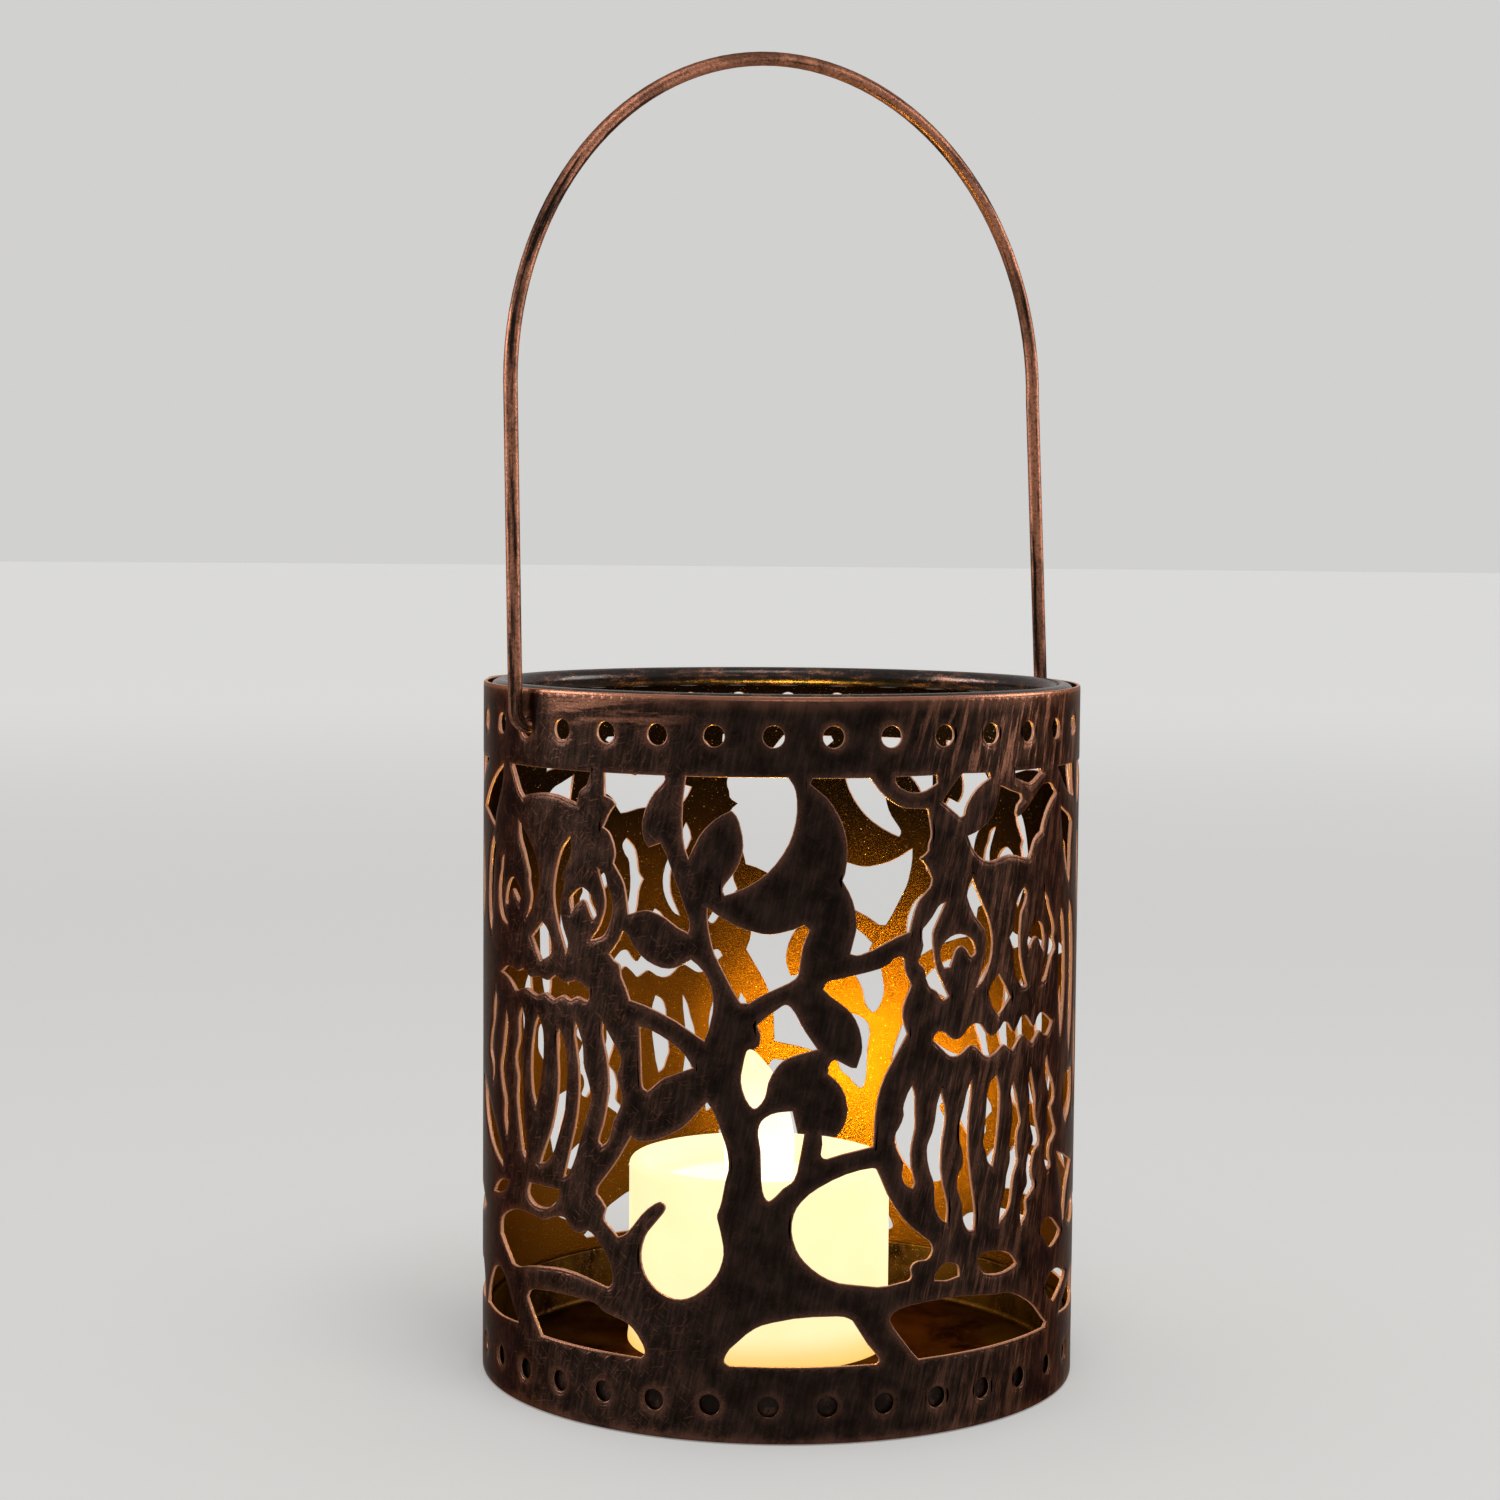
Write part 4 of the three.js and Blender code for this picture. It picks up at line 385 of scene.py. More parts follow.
# The fretwork, drawn flat in mm. u runs round the wall from the middle of the tree side and v is height.
# A third value of 1 marks a sharp corner, and the runs between corners are smooth.
fretwork = {
    "leftOwlCrown": [
      [-49.3, 98.2, 1], [-48, 96.2], [-46.8, 94.5], [-45.5, 93.5, 1], [-43.2, 94.1], [-40, 94.5],
      [-36.8, 94.4], [-34.6, 93.9], [-32.6, 93.4, 1], [-32, 95.2], [-30.6, 96.3], [-29.9, 98.2, 1],
    ],
    "gapOwlToTree": [
      [-27.3, 98.2, 1], [-17, 98.2, 1], [-17, 97.5], [-18.9, 95.4], [-20.1, 93.2], [-20.6, 91], [-20.4, 89],
      [-19.5, 87.6, 1], [-17.6, 88.3, 1], [-16.7, 86.7], [-15.8, 84.4], [-14.8, 81.9], [-13.8, 79.3],
      [-13, 77], [-13.2, 75.3, 1], [-15, 76.1], [-16.7, 77.3], [-18.4, 78], [-20.1, 78.3], [-22.9, 77.5, 1],
      [-23.3, 80.3], [-23.9, 82.4], [-25.6, 84.9, 1], [-25.3, 86.8], [-26.2, 89.2], [-27.5, 90.1, 1],
      [-26.4, 92.2], [-25.2, 93.6, 1], [-25.8, 94.3], [-27.2, 94.8, 1],
    ],
    "moonHollow": [
      [-13.7, 98.2, 1], [1.5, 98.3, 1], [2.5, 96.6], [2.8, 94.4], [2.6, 91.8], [1.7, 88.8], [0, 86],
      [-2, 83.9], [-4.3, 82.4], [-6.2, 81.5], [-7.7, 81, 1], [-8, 82], [-7.2, 83.2], [-6, 84.8], [-5.2, 86.8],
      [-5, 88.6], [-5.3, 90.6], [-5.9, 92.4], [-6.8, 93.4, 1], [-8.4, 92.6], [-10.1, 91.3], [-11.4, 89.8],
      [-12.4, 88], [-13.2, 86.1, 1], [-13.9, 88], [-14.2, 90.4], [-14.2, 94],
    ],
    "skyRight": [
      [5.1, 98.2, 1], [13.6, 98.2, 1], [14.3, 97.4], [15.2, 96.2], [16.8, 94.8], [18.5, 93.9], [20, 93.6],
      [22.9, 93.5, 1], [23.3, 91.8], [23.6, 89.7], [23.2, 88.4], [23, 87.2], [21.6, 86.2, 1], [22.8, 85.1],
      [23.8, 83.1, 1], [23.5, 82], [22.6, 81.1], [21.5, 79.9], [20.7, 78], [20.1, 75.5, 1], [18.2, 74.9],
      [16.2, 73.9], [14, 72.9], [12, 72.3], [10.9, 72.6, 1], [11.4, 74.5], [11.8, 76.5], [11.6, 78.8],
      [10.9, 81], [9.6, 83.3, 1], [10.1, 84.8], [10.3, 87.5], [10, 90], [9.1, 92.5], [7.6, 94.9], [6.1, 96.3],
      [4.7, 97.4, 1],
    ],
    "brow": [
      [17.6, 98.3, 1], [17.7, 97.4], [18.4, 96.7], [19.7, 96.1], [21.2, 95.9], [22.6, 96.2], [24.5, 97.2, 1],
      [24.4, 98.4, 1],
    ],
    "leftEarNotch": [
      [25.4, 94.5, 1], [27.2, 93.2], [28.7, 92.1], [29.5, 92.4, 1], [29.8, 93.6], [30.9, 95.2], [32.3, 96.5],
      [34.5, 97.6, 1], [34.2, 98.4, 1], [29, 98.5, 1], [28.2, 97.9], [27, 96.6], [26, 95.5],
    ],
    "rightOwlCrown": [
      [36.7, 96.4, 1], [39.2, 95.5], [41.5, 94.9, 1], [41.8, 94.1], [40.8, 93.2], [40.4, 92, 1], [41, 91.5],
      [42.8, 92.4], [44.5, 93.7], [46.2, 95.1], [47.7, 95.9], [49.2, 96.1], [50.6, 95.9], [52.6, 94.4, 1],
      [50.9, 93.4], [49.4, 92], [48.4, 90.5], [47.6, 88.8, 1], [46.5, 88.4], [45.5, 87.6], [44.8, 86.3],
      [43.9, 85.1, 1], [42.6, 85.2], [40.6, 85.7], [38.7, 85.9], [36.7, 85.5], [35, 85.2], [33.6, 85.4],
      [32.1, 86.2], [30.9, 87.6], [30.1, 89.2, 1], [31.2, 89.5], [32.6, 90.1], [34.3, 91.2], [35.5, 92.7],
      [36.1, 94.1],
    ],
    "rightEarChip": [
      [40, 98.4, 1], [46.7, 98.4, 1], [47.2, 97.9, 1], [45.6, 97], [44.1, 96.4], [43, 96.5], [41.5, 97],
      [40.1, 97.4, 1],
    ],
    "leftOwlLeftCheek": [
      [-47.1, 89.9, 1], [-46.6, 87.3], [-45.4, 85.3], [-44.6, 83.5], [-43.9, 82.1], [-43.9, 80.7],
      [-43.3, 79], [-43.5, 77.3], [-44.3, 75.4, 1], [-43, 76.8], [-41.6, 79.2], [-41.1, 81.2], [-41.5, 83.6],
      [-42.6, 85.6], [-44.3, 87.6],
    ],
    "leftOwlRightCheek": [
      [-33.9, 88.4, 1], [-35.7, 86.3], [-36.7, 84.1], [-37.3, 82], [-37.6, 80], [-37.4, 77.8], [-36.6, 75.1],
      [-35.6, 72.7], [-34.7, 70.9, 1], [-34.3, 72.3], [-35.1, 74], [-35.8, 76], [-36, 78.3], [-35.2, 81.2],
      [-35.6, 82.4], [-34.7, 83.9], [-33.9, 85.4], [-33.7, 86.9],
    ],
    "leftOwlOuterCheek": [
      [-52.2, 84.1, 1], [-53.2, 83.2], [-53.5, 81.6], [-54.4, 80.1], [-54.7, 78], [-54.1, 75.8], [-52.7, 74],
      [-50.7, 73.4, 1], [-51.9, 75.4], [-53, 77.6], [-53.1, 80.2], [-52.5, 82],
    ],
    "leftOwlInnerCheek": [
      [-28.5, 84.1, 1], [-27.1, 83.2], [-26.6, 81.5], [-25.9, 80.1], [-25.6, 78], [-26.2, 75.8], [-27.4, 74],
      [-29.7, 73.3, 1], [-28.4, 74.8], [-27.5, 76.6], [-27, 78.4], [-27.1, 80.2], [-27.7, 82],
    ],
    "leftOwlLeftEye": [
      [-46.7, 77.2, 1], [-46.2, 78.8], [-47.2, 80], [-48.8, 80.9], [-50.4, 80], [-51.4, 78.3],
      [-51.6, 76.9, 1], [-50.8, 76.5], [-50.1, 77.6], [-49.6, 78.7], [-48.8, 79.1], [-47.9, 78.5],
    ],
    "leftOwlRightEye": [
      [-33.5, 77.2, 1], [-34, 78.8], [-33, 80], [-31.4, 80.9], [-29.8, 80], [-28.8, 78.3], [-28.6, 76.9, 1],
      [-29.4, 76.5], [-30.1, 77.6], [-30.6, 78.7], [-31.4, 79.1], [-32.3, 78.5],
    ],
    "leftOwlBeak": [
      [-43.1, 72.4, 1], [-40.2, 74.9, 1], [-38.7, 73.6], [-37.7, 71.1, 1], [-38.5, 70], [-40.6, 69.1, 1],
    ],
    "leftOwlCollar": [
      [-53.4, 65.8, 1], [-51.4, 66.8], [-49.5, 67], [-47.4, 66.6], [-45.4, 67.2], [-43.4, 66.2],
      [-41.2, 66.5], [-38.8, 66.2], [-37, 67.1], [-34.9, 66.3], [-32.7, 66.8], [-31, 66.3], [-29.8, 65.4, 1],
      [-30.3, 64.1], [-32.3, 64.5], [-33.7, 63.9], [-35.3, 64.4], [-37.3, 63.6], [-39.3, 64.3], [-41.6, 63.7],
      [-44.6, 64.4], [-47.4, 63.6], [-49.1, 64.6], [-50.8, 65.3],
    ],
    "leftOwlSlot1": [
      [-56.1, 62.4, 1], [-57.1, 60.2], [-57.5, 57.4], [-58.9, 55.2], [-59.4, 52.8], [-57.7, 50.6],
      [-57.6, 48, 1], [-56.3, 50.4], [-57.7, 53], [-57.3, 55.4], [-56, 58.4], [-55.5, 61],
    ],
    "leftOwlSlot2": [
      [-51.3, 60.2, 1], [-51.8, 57], [-52.6, 54], [-53.7, 51], [-53, 48.4], [-51.8, 46], [-51.9, 43.2],
      [-50.7, 40.7, 1], [-50.3, 43.6], [-50.6, 46.8], [-51.7, 49.6], [-51.8, 51.6], [-50.8, 54.6],
      [-50.5, 58],
    ],
    "leftOwlSlot3": [
      [-45.8, 61.3, 1], [-46.8, 59.4], [-46.8, 56.4], [-47.9, 53.2], [-47.1, 50.4], [-47.4, 47],
      [-46.6, 43.2], [-45.8, 39.8], [-44.5, 38.2, 1], [-44.4, 41], [-45.2, 44.4], [-45.3, 48], [-45.6, 51.4],
      [-46.2, 53.2], [-45.5, 56.4], [-45, 59.4],
    ],
    "leftOwlSlot4": [
      [-41.2, 60.6, 1], [-42.2, 58.8], [-43, 55.2], [-43.1, 51.4], [-42.7, 48.6], [-41.7, 46.9, 1],
      [-40.9, 49.2], [-40.2, 52], [-39.8, 55.2], [-40, 58.4],
    ],
    "leftOwlSlot5": [
      [-36.1, 59.2, 1], [-36.6, 57.6], [-36.3, 52.4], [-36.6, 48.4], [-37.8, 44], [-39.6, 40.4],
      [-40.6, 38.2, 1], [-39, 38.6], [-37.4, 40.2], [-36.2, 43], [-34.9, 46.6], [-34.5, 50.4], [-34.3, 53.4],
      [-34.9, 56.8],
    ],
    "leftOwlSlot6": [
      [-32.6, 60.7, 1], [-32.8, 58.4], [-32, 54.2], [-31.9, 49.6], [-32.6, 45], [-33.9, 40.8], [-35, 36.9, 1],
      [-33.9, 37.6], [-32.6, 40], [-31.5, 43.2], [-30.6, 46], [-29.5, 49.2], [-29.9, 51.6], [-30.9, 54.2],
      [-31.2, 57.4],
    ],
    "leftOwlSlot7": [
      [-27.4, 61.2, 1], [-27.4, 59], [-26.5, 55.6], [-26.2, 51.4], [-26.9, 46.8], [-28, 43.4],
      [-27.3, 42.6, 1], [-26.1, 43.8], [-25.3, 46.4], [-24.2, 48.6], [-23.8, 50.4], [-24.7, 53.2],
      [-24, 55.8], [-25, 57.8], [-26.2, 59.4],
    ],
    "underWing": [
      [-20.9, 61, 1], [-18.9, 60.6], [-16.7, 59.6], [-14.8, 58.4], [-13.4, 57.1], [-12.3, 55.5, 1],
      [-15, 54.4], [-17, 53.6], [-18.4, 52.4], [-19.5, 51.5, 1], [-20.4, 52.2], [-20.6, 55], [-20.7, 58],
    ],
    "overBranchLeft": [
      [-23.8, 75, 1], [-24.8, 73.1], [-26.2, 71.4, 1], [-25.4, 70.5], [-24.4, 69.9], [-24.1, 68.2],
      [-23.2, 66.4], [-22.6, 64.8, 1], [-20.4, 64.3], [-18, 63.5], [-15, 62.2], [-12.6, 60.7],
      [-10.6, 59.5, 1], [-9.8, 61.8], [-9.3, 64.5], [-9.5, 67], [-10.3, 69], [-11.4, 70.4], [-12.7, 71.4, 1],
      [-15, 70.1], [-17, 69.9], [-19, 70.5], [-20.5, 71.4], [-21.9, 72.8], [-22.9, 74.4],
    ],
    "wedgeAndPorthole": [
      [-22.2, 44.6, 1], [-23.4, 42.6], [-25.2, 39.9], [-28.1, 36.4], [-28.4, 35.2, 1], [-27.4, 34.3],
      [-26.6, 33.2, 1], [-27, 31.5], [-25.8, 30.4], [-24.5, 29.2, 1], [-23.3, 29.7], [-22.2, 30.7],
      [-20.4, 33], [-18.9, 34.4], [-17.4, 35.2], [-16.5, 34.6], [-16.8, 33.6], [-18.4, 31.7], [-19.7, 30],
      [-20.4, 27.8], [-20.4, 25.9], [-19.6, 23.8], [-17.7, 21.9], [-15, 20.9], [-12.6, 21.3], [-10.1, 23],
      [-8.4, 25.1], [-7.6, 27.3], [-7.5, 29], [-7.9, 31.2], [-8.5, 33.7], [-7.9, 35.6], [-7.4, 38.4],
      [-6.8, 41], [-7.1, 43.7], [-8, 46.2], [-8.9, 48.7], [-10.1, 50.5, 1], [-12.1, 48.2], [-14, 46.4],
      [-16.5, 45], [-18.6, 44.2], [-20.9, 43.9],
    ],
    "underMoon": [
      [-10.3, 79.1, 1], [-10.2, 76.6], [-9.4, 73], [-8.2, 70.5], [-7, 68.2], [-5.8, 66.1], [-5.2, 65.3, 1],
      [-4, 65.3, 1], [-1.9, 66.6], [0.1, 67.5], [2.1, 68.5], [3.1, 69.4], [3.4, 71.2], [3.8, 73.6],
      [4.8, 76.1, 1], [4, 76.8, 1], [2.6, 76.2], [0.8, 75.7], [-1.2, 75.4], [-3.2, 75.7], [-5.6, 76.4],
      [-8, 77.6],
    ],
    "leafGapLeft": [
      [-2.8, 62, 1], [-2.2, 60.6], [-2.5, 59.1], [-3.2, 58.5, 1], [-4.2, 58.3], [-4.7, 56.6], [-5.1, 54],
      [-4.7, 52], [-3.9, 50.4], [-3.1, 49.8], [-2.3, 50.3], [-1.5, 51.6], [-1.1, 53.6], [-0.3, 55.3],
      [1.1, 56.9], [3.4, 57.9], [6.1, 58.6, 1], [5.2, 59.9], [4.4, 61], [3.6, 62.5], [2.8, 63.9], [2, 64.9],
      [1.2, 65.1], [0.1, 64.4], [-1.4, 63.3],
    ],
    "leafGapBelow": [
      [2.5, 49.5, 1], [3, 47.5], [3.3, 46.2, 1], [4.3, 46.1, 1], [3.9, 44], [3.6, 42], [3.2, 40.2],
      [2.5, 38.9], [1.3, 38.1], [0.3, 37], [-0.8, 36.2], [-1.5, 36.8], [-1.9, 38.5], [-2, 41], [-2.1, 43.5],
      [-2.5, 46.1], [-2.1, 47.8], [-1, 48.8], [0.4, 49.3],
    ],
    "branchAndLeaves": [
      [6.9, 67.4, 1], [8, 66.4], [10.2, 64.8], [11.4, 63.5], [12.2, 62], [12.7, 60.2], [12.8, 58.2],
      [12, 55.7, 1], [11.1, 55.8], [10.2, 56.3], [8.7, 57], [7.9, 56.3], [7.7, 55, 1], [8.8, 54.1],
      [9.8, 52.9], [10.5, 51.2], [10.7, 49.2], [10.2, 47.2], [9, 45.6, 1], [6.9, 45.9, 1], [7, 44.6],
      [6.8, 43], [7.5, 42.4], [9.3, 42.9], [12, 43.5], [14.7, 44, 1], [14.8, 46.4], [14.9, 48.4],
      [15.2, 50.6], [15.7, 52.6], [16.6, 54.8], [18, 57.2], [19.9, 60.4, 1], [19.5, 61.4], [19.1, 62.8],
      [19.2, 64.5], [19.8, 66.1], [20.5, 67.6, 1], [19.9, 68.7], [19.4, 70], [19.3, 71.3], [18.7, 71.9],
      [17.6, 71.6], [16.9, 70.9, 1], [15, 70.1], [12.6, 69.6], [10.4, 69.1], [8.5, 68.8], [7.4, 68.4],
    ],
    "bigPorthole": [
      [14.6, 40.8], [15.3, 40.5], [16, 39], [17.2, 36.4], [18.9, 33.8], [20.5, 32], [22.4, 30.4],
      [23.9, 29.3], [24.6, 28.2], [24.4, 27.1], [23.5, 26.4], [22.3, 26.4], [21.4, 26.1], [20.9, 25.3],
      [21.1, 24.3], [20.6, 23.6], [19.2, 23.4], [17.6, 23.1], [15.6, 23], [13.7, 23.3], [11.8, 23.6],
      [9.7, 23.9], [7.5, 24.8], [5.3, 26.4], [3.6, 28.4], [2.7, 30.8], [2.6, 33], [3.3, 35.2], [5.1, 37.2],
      [7.5, 38.7], [9.9, 39.8], [12.3, 40.5],
    ],
    "rightOwlEdgeCheek": [
      [26.2, 79.6, 1], [25, 79.1], [24.1, 77.8], [23.1, 76.6], [22.3, 75.8], [22.2, 74.6], [22.4, 73.2],
      [21.6, 71, 1], [22.7, 69.8], [22.9, 68.5, 1], [23.6, 67.2], [24.8, 66.5], [25.4, 65.6], [26.1, 65.1],
      [26.9, 65.6, 1], [25.7, 67.7], [24.7, 69.8], [24.2, 72.1], [24, 75], [24.6, 76.6], [25.3, 77.8],
    ],
    "rightOwlLeftCheek": [
      [31.1, 83, 1], [31.9, 81.2], [33.3, 78.8], [34.5, 76.6], [35.1, 74.9], [35.4, 73.2], [35.2, 71],
      [34.4, 68.9], [33.3, 67.3], [32.1, 66.6, 1], [33, 68.5], [33.8, 70.6], [34, 72.8], [33.8, 74.8],
      [32.9, 75.9], [31.6, 77.3], [30.6, 79], [30.1, 80.3, 1], [30.4, 81.7],
    ],
    "rightOwlRightCheek": [
      [42.7, 80.7, 1], [43.5, 79.6], [43.1, 78.2], [42.2, 76.9], [41.9, 74.9], [41.8, 72.6], [42.1, 70.1],
      [42.8, 67.9], [43.8, 65.8, 1], [42.6, 65.6], [41.5, 66.5], [40.7, 67.7], [40.3, 69.4], [40.1, 71.4],
      [39.2, 73.4, 1], [40.1, 74.7], [40.4, 77], [41, 79],
    ],
    "rightOwlFarCheek": [
      [48.7, 79.6, 1], [49.9, 78.4], [50.6, 76.9], [51.7, 75.3], [52.5, 73.6], [52.2, 72.1], [52.9, 70.6],
      [51.5, 69.3], [50.5, 67.6], [49.5, 66.2], [48.1, 65.7, 1], [48.8, 67.8], [50.2, 70.2], [50.6, 72.8],
      [50.4, 75], [49.3, 76.8],
    ],
    "rightOwlLeftEye": [
      [26.1, 69.9, 1], [25.3, 71.7], [25.7, 73.2], [26.8, 74.2], [28.3, 74.7], [29.8, 74.5], [31, 73.8],
      [31.7, 72.8], [31.9, 71.7], [31.1, 71.2], [30.4, 71.9], [29.8, 72.7], [28.9, 72.9], [28.1, 72.3],
      [27.6, 71.1], [27.1, 69.9, 1],
    ],
    "rightOwlRightEye": [
      [44.1, 71.2, 1], [43.8, 72.5], [44.6, 73.7], [45.6, 74.7], [47, 75.1], [48.2, 74.4], [48.8, 73],
      [48.9, 71.8], [48.4, 70.6, 1], [47.7, 71.2], [47.2, 72.2], [46.4, 72.9], [45.5, 72.6], [44.9, 71.9],
    ],
    "rightOwlBeak": [
      [36.9, 68.1, 1], [38.3, 66.3], [39.6, 64.3, 1], [38.2, 63], [36.9, 61.9, 1], [35.4, 63.5],
      [34.7, 65.6, 1], [35.6, 67.1],
    ],
    "rightOwlCollar": [
      [24.2, 59.3, 1], [25, 60.4], [26.3, 60.2], [27.4, 59.3], [28.6, 59], [29.7, 59.5], [30.7, 60.6],
      [31.9, 61.1], [33.2, 60.8], [34.3, 59.5], [35.6, 58.9], [37, 59.6], [38.1, 60.7], [39.2, 60.4],
      [40.4, 59], [41.4, 59.8], [42.3, 61], [43.6, 61.1], [44.8, 60.1], [45.9, 59.1], [46.9, 60.4],
      [48.1, 61], [49.5, 60.6], [50.7, 59.9], [52.2, 59.2, 1], [51.4, 58.1], [50.1, 57.3], [48.9, 57.5],
      [47.7, 58.3], [46.6, 57.6], [45.4, 56.8], [44.1, 57.4], [42.8, 58.3], [41.6, 57.5], [40.4, 56.3],
      [39.4, 56.7], [38.1, 57.3], [36.5, 56.3], [35, 55.9], [33.7, 56.3], [32.3, 57.6], [31.1, 57.9],
      [30, 57.2], [28.6, 56.5], [27.1, 56.8], [25.6, 58.1],
    ],
    "rightOwlSlot1": [
      [20.8, 52.7, 1], [20, 51.4], [19.4, 49.6], [19.5, 48.4], [19, 47], [18.2, 45.7], [18.1, 44.3],
      [18.7, 42.8], [19.5, 41.3], [19.3, 39.6], [19.8, 38.2], [21, 37.4, 1], [21.4, 38.2], [20.8, 40.6],
      [20.7, 43], [21.1, 45], [21.4, 46.6], [21.3, 48.8], [21.3, 51],
    ],
    "rightOwlSlot2": [
      [25.8, 51.5, 1], [26.5, 48.8], [26.6, 46.8], [26.2, 44.8], [25.9, 42.4], [25.9, 39.8], [26.3, 37.3],
      [26.9, 35.4], [27.2, 33.6], [27, 31.7, 1], [25.9, 32.5], [25, 34], [24.8, 35.8], [24.8, 37.6],
      [24, 39.6], [23.5, 41.6], [23.5, 43.6], [24.3, 45.4], [24.8, 47.4], [25.1, 49.6],
    ],
    "rightOwlSlot3": [
      [31.5, 52.7, 1], [31.4, 50.4], [31, 47.4], [30.9, 44.4], [31, 41.4], [31.5, 38], [32.1, 35], [32.5, 32],
      [32.2, 29.9, 1], [31, 30.2], [30.1, 31.8], [29.8, 34.4], [28.9, 36.6], [29, 38.4], [29.9, 40],
      [29.9, 42], [29.2, 44], [29.2, 46.2], [29.9, 48.4], [30.5, 50.8],
    ],
    "rightOwlSlot4": [
      [36.7, 52.8, 1], [37.4, 50.4], [37.4, 47.4], [37.1, 44.6], [36.6, 41.4], [36, 39.1, 1], [35, 39.9],
      [34.5, 41.4], [34, 42.8], [34.3, 45.4], [34.5, 48.2], [34.7, 50.4], [35.4, 52],
    ],
    "rightOwlSlot5": [
      [40.6, 51.4, 1], [41.5, 49.2], [42.1, 46.8], [42.6, 45], [41.8, 43.4], [41.7, 41], [42, 39], [41, 37],
      [40.6, 35], [40.2, 32.8], [39.2, 31.4], [37.6, 30.3, 1], [37.9, 32.4], [38.8, 34.6], [39.2, 37.2],
      [40, 39.4], [39.9, 42], [40.4, 44.8], [40.5, 47.4], [40, 49.8],
    ],
    "rightOwlSlot6": [
      [45.2, 53.1, 1], [45.9, 50.8], [46.7, 48.2], [46.7, 45.8], [47.4, 43.8], [48.2, 41.2], [46.8, 40],
      [45.9, 37.8], [46, 36], [46.8, 34.6], [45.4, 33.4], [44.4, 32.6], [44.5, 30.6], [43, 29.1, 1],
      [42.8, 31.4], [43.4, 33.6], [44.6, 35.2], [44.3, 37.6], [44.9, 39.8], [46.2, 41.6], [45.4, 43.8],
      [44.9, 46], [45, 48.6], [44.6, 51],
    ],
    "rightOwlSlot7": [
      [50.3, 54.2, 1], [51.2, 51.8], [52.9, 49.6], [53.5, 47.4], [52.2, 45.8], [53.2, 43.8], [54.1, 41.8],
      [52.1, 40.2], [51.7, 38.4], [52.3, 36.9], [51, 36.2, 1], [50, 38], [50.3, 40.6], [51.6, 42.2],
      [51, 44.2], [50.7, 46], [51.4, 47.6], [50.3, 49.8], [49.5, 52],
    ],
    "leftOwlFootHole": [
      [-43.4, 34.6, 1], [-36, 34.7, 1], [-36.3, 33.2], [-37.8, 31.9], [-39.9, 31.4], [-42.1, 31.6],
      [-43.9, 32.8],
    ],
    "tailWindow": [
      [-53.4, 24.9, 1], [-53, 27.3], [-50.2, 28.9], [-46.8, 29.8], [-43.2, 29.8], [-39.8, 29.5],
      [-37.2, 30.4], [-34.8, 30.6], [-33.2, 29.1], [-31.6, 28.8], [-30.1, 29.4], [-28.7, 28.8], [-27.5, 27.6],
      [-26.2, 25.9], [-25.4, 23.9], [-25.3, 22.2, 1], [-26.4, 21.4], [-30.1, 22.2], [-33.3, 22.7],
      [-36.5, 22.7], [-40, 22.3], [-43.4, 21.7], [-46.6, 20.9], [-48.6, 21, 1], [-51, 23],
    ],
    "leftFootWindow": [
      [-40.2, 11.6, 1], [-42.4, 14.4], [-44.1, 16.8, 1], [-42.9, 18.1], [-39.5, 18.7], [-35, 19], [-31, 18.9],
      [-28.4, 18.6], [-26.8, 17.6], [-24.8, 17.1], [-22.8, 16.5], [-21.3, 15.3], [-20, 13.5], [-19.7, 12.3],
      [-20.4, 11.5, 1],
    ],
    "middleFootWindow": [
      [-6.5, 11.5, 1], [-7.3, 12.2], [-6.6, 13.8], [-5.2, 15.2], [-3.5, 16.7], [-1.7, 17.7], [0.6, 18.3],
      [3.4, 18.8], [6.8, 19], [10.2, 18.9], [11.8, 18.2, 1], [13, 16.3], [14.2, 14.5], [15.5, 13], [16, 12],
      [15.4, 11.5, 1],
    ],
    "rightFootWindow": [
      [22.4, 11.6, 1], [21.2, 12.9], [19.7, 14.8], [18.3, 16.6], [17.6, 18], [18.2, 19], [20, 19.7],
      [23.3, 20.1], [27.5, 20.3], [32, 20], [36, 19.5], [39.7, 19.2], [41.8, 18.6], [44, 17.6], [46.2, 16.4],
      [48, 15.1], [49.9, 13.4], [51.6, 12.2, 1], [50.9, 11.6, 1],
    ],
    "rightOwlToeHole": [
      [25, 23.2, 1], [25.1, 24], [26, 25.1], [27.2, 25.6], [28.6, 25.3], [29.4, 24.7], [29.5, 23.3, 1],
      [27.2, 22.9],
    ],
    "rightOwlFootHole": [
      [33.1, 25.4, 1], [34.2, 26.1], [37.2, 26], [39.7, 25.4], [41.1, 24.4], [42, 23.3, 1], [40.4, 22.8],
      [38.2, 22.5], [35.8, 22.7], [34, 23.4],
    ],
    "edgeLeafHole": [
      [48.9, 27, 1], [50.2, 28.6], [52.8, 28.4], [55, 27.2], [57.4, 25.5, 1], [55.4, 24.4], [52.6, 23.8],
      [50.6, 25.2],
    ],
    "branchTipWindow": [
      [54.9, 38.3, 1], [58, 37.5], [61, 36.4], [64.8, 35.3, 1], [62.2, 33.5], [60.4, 31], [59.4, 27.6],
      [58.7, 26.6, 1], [57.9, 29], [57.2, 31.8], [56, 34.6],
    ],
    "edgeFootWindow": [
      [50.6, 17.8, 1], [52.6, 19.5], [56, 19.8], [61, 18.1, 1], [58.2, 16.6], [54.4, 14.9, 1], [52.2, 16],
    ],
    "edgeRootWindow": [
      [57, 12.4, 1], [59.4, 14.4], [63.6, 16.4], [68, 18.2], [70.8, 17], [72.2, 14.6], [72.4, 12.2, 1],
      [66, 11.8],
    ],
    "leftRootWindow": [
      [-46.6, 12.2, 1], [-48.8, 15], [-50.4, 17.4], [-53.2, 19.3], [-56.2, 18.9], [-58.6, 16.8],
      [-60.2, 14.4], [-60.8, 12.2, 1], [-54, 11.8],
    ],
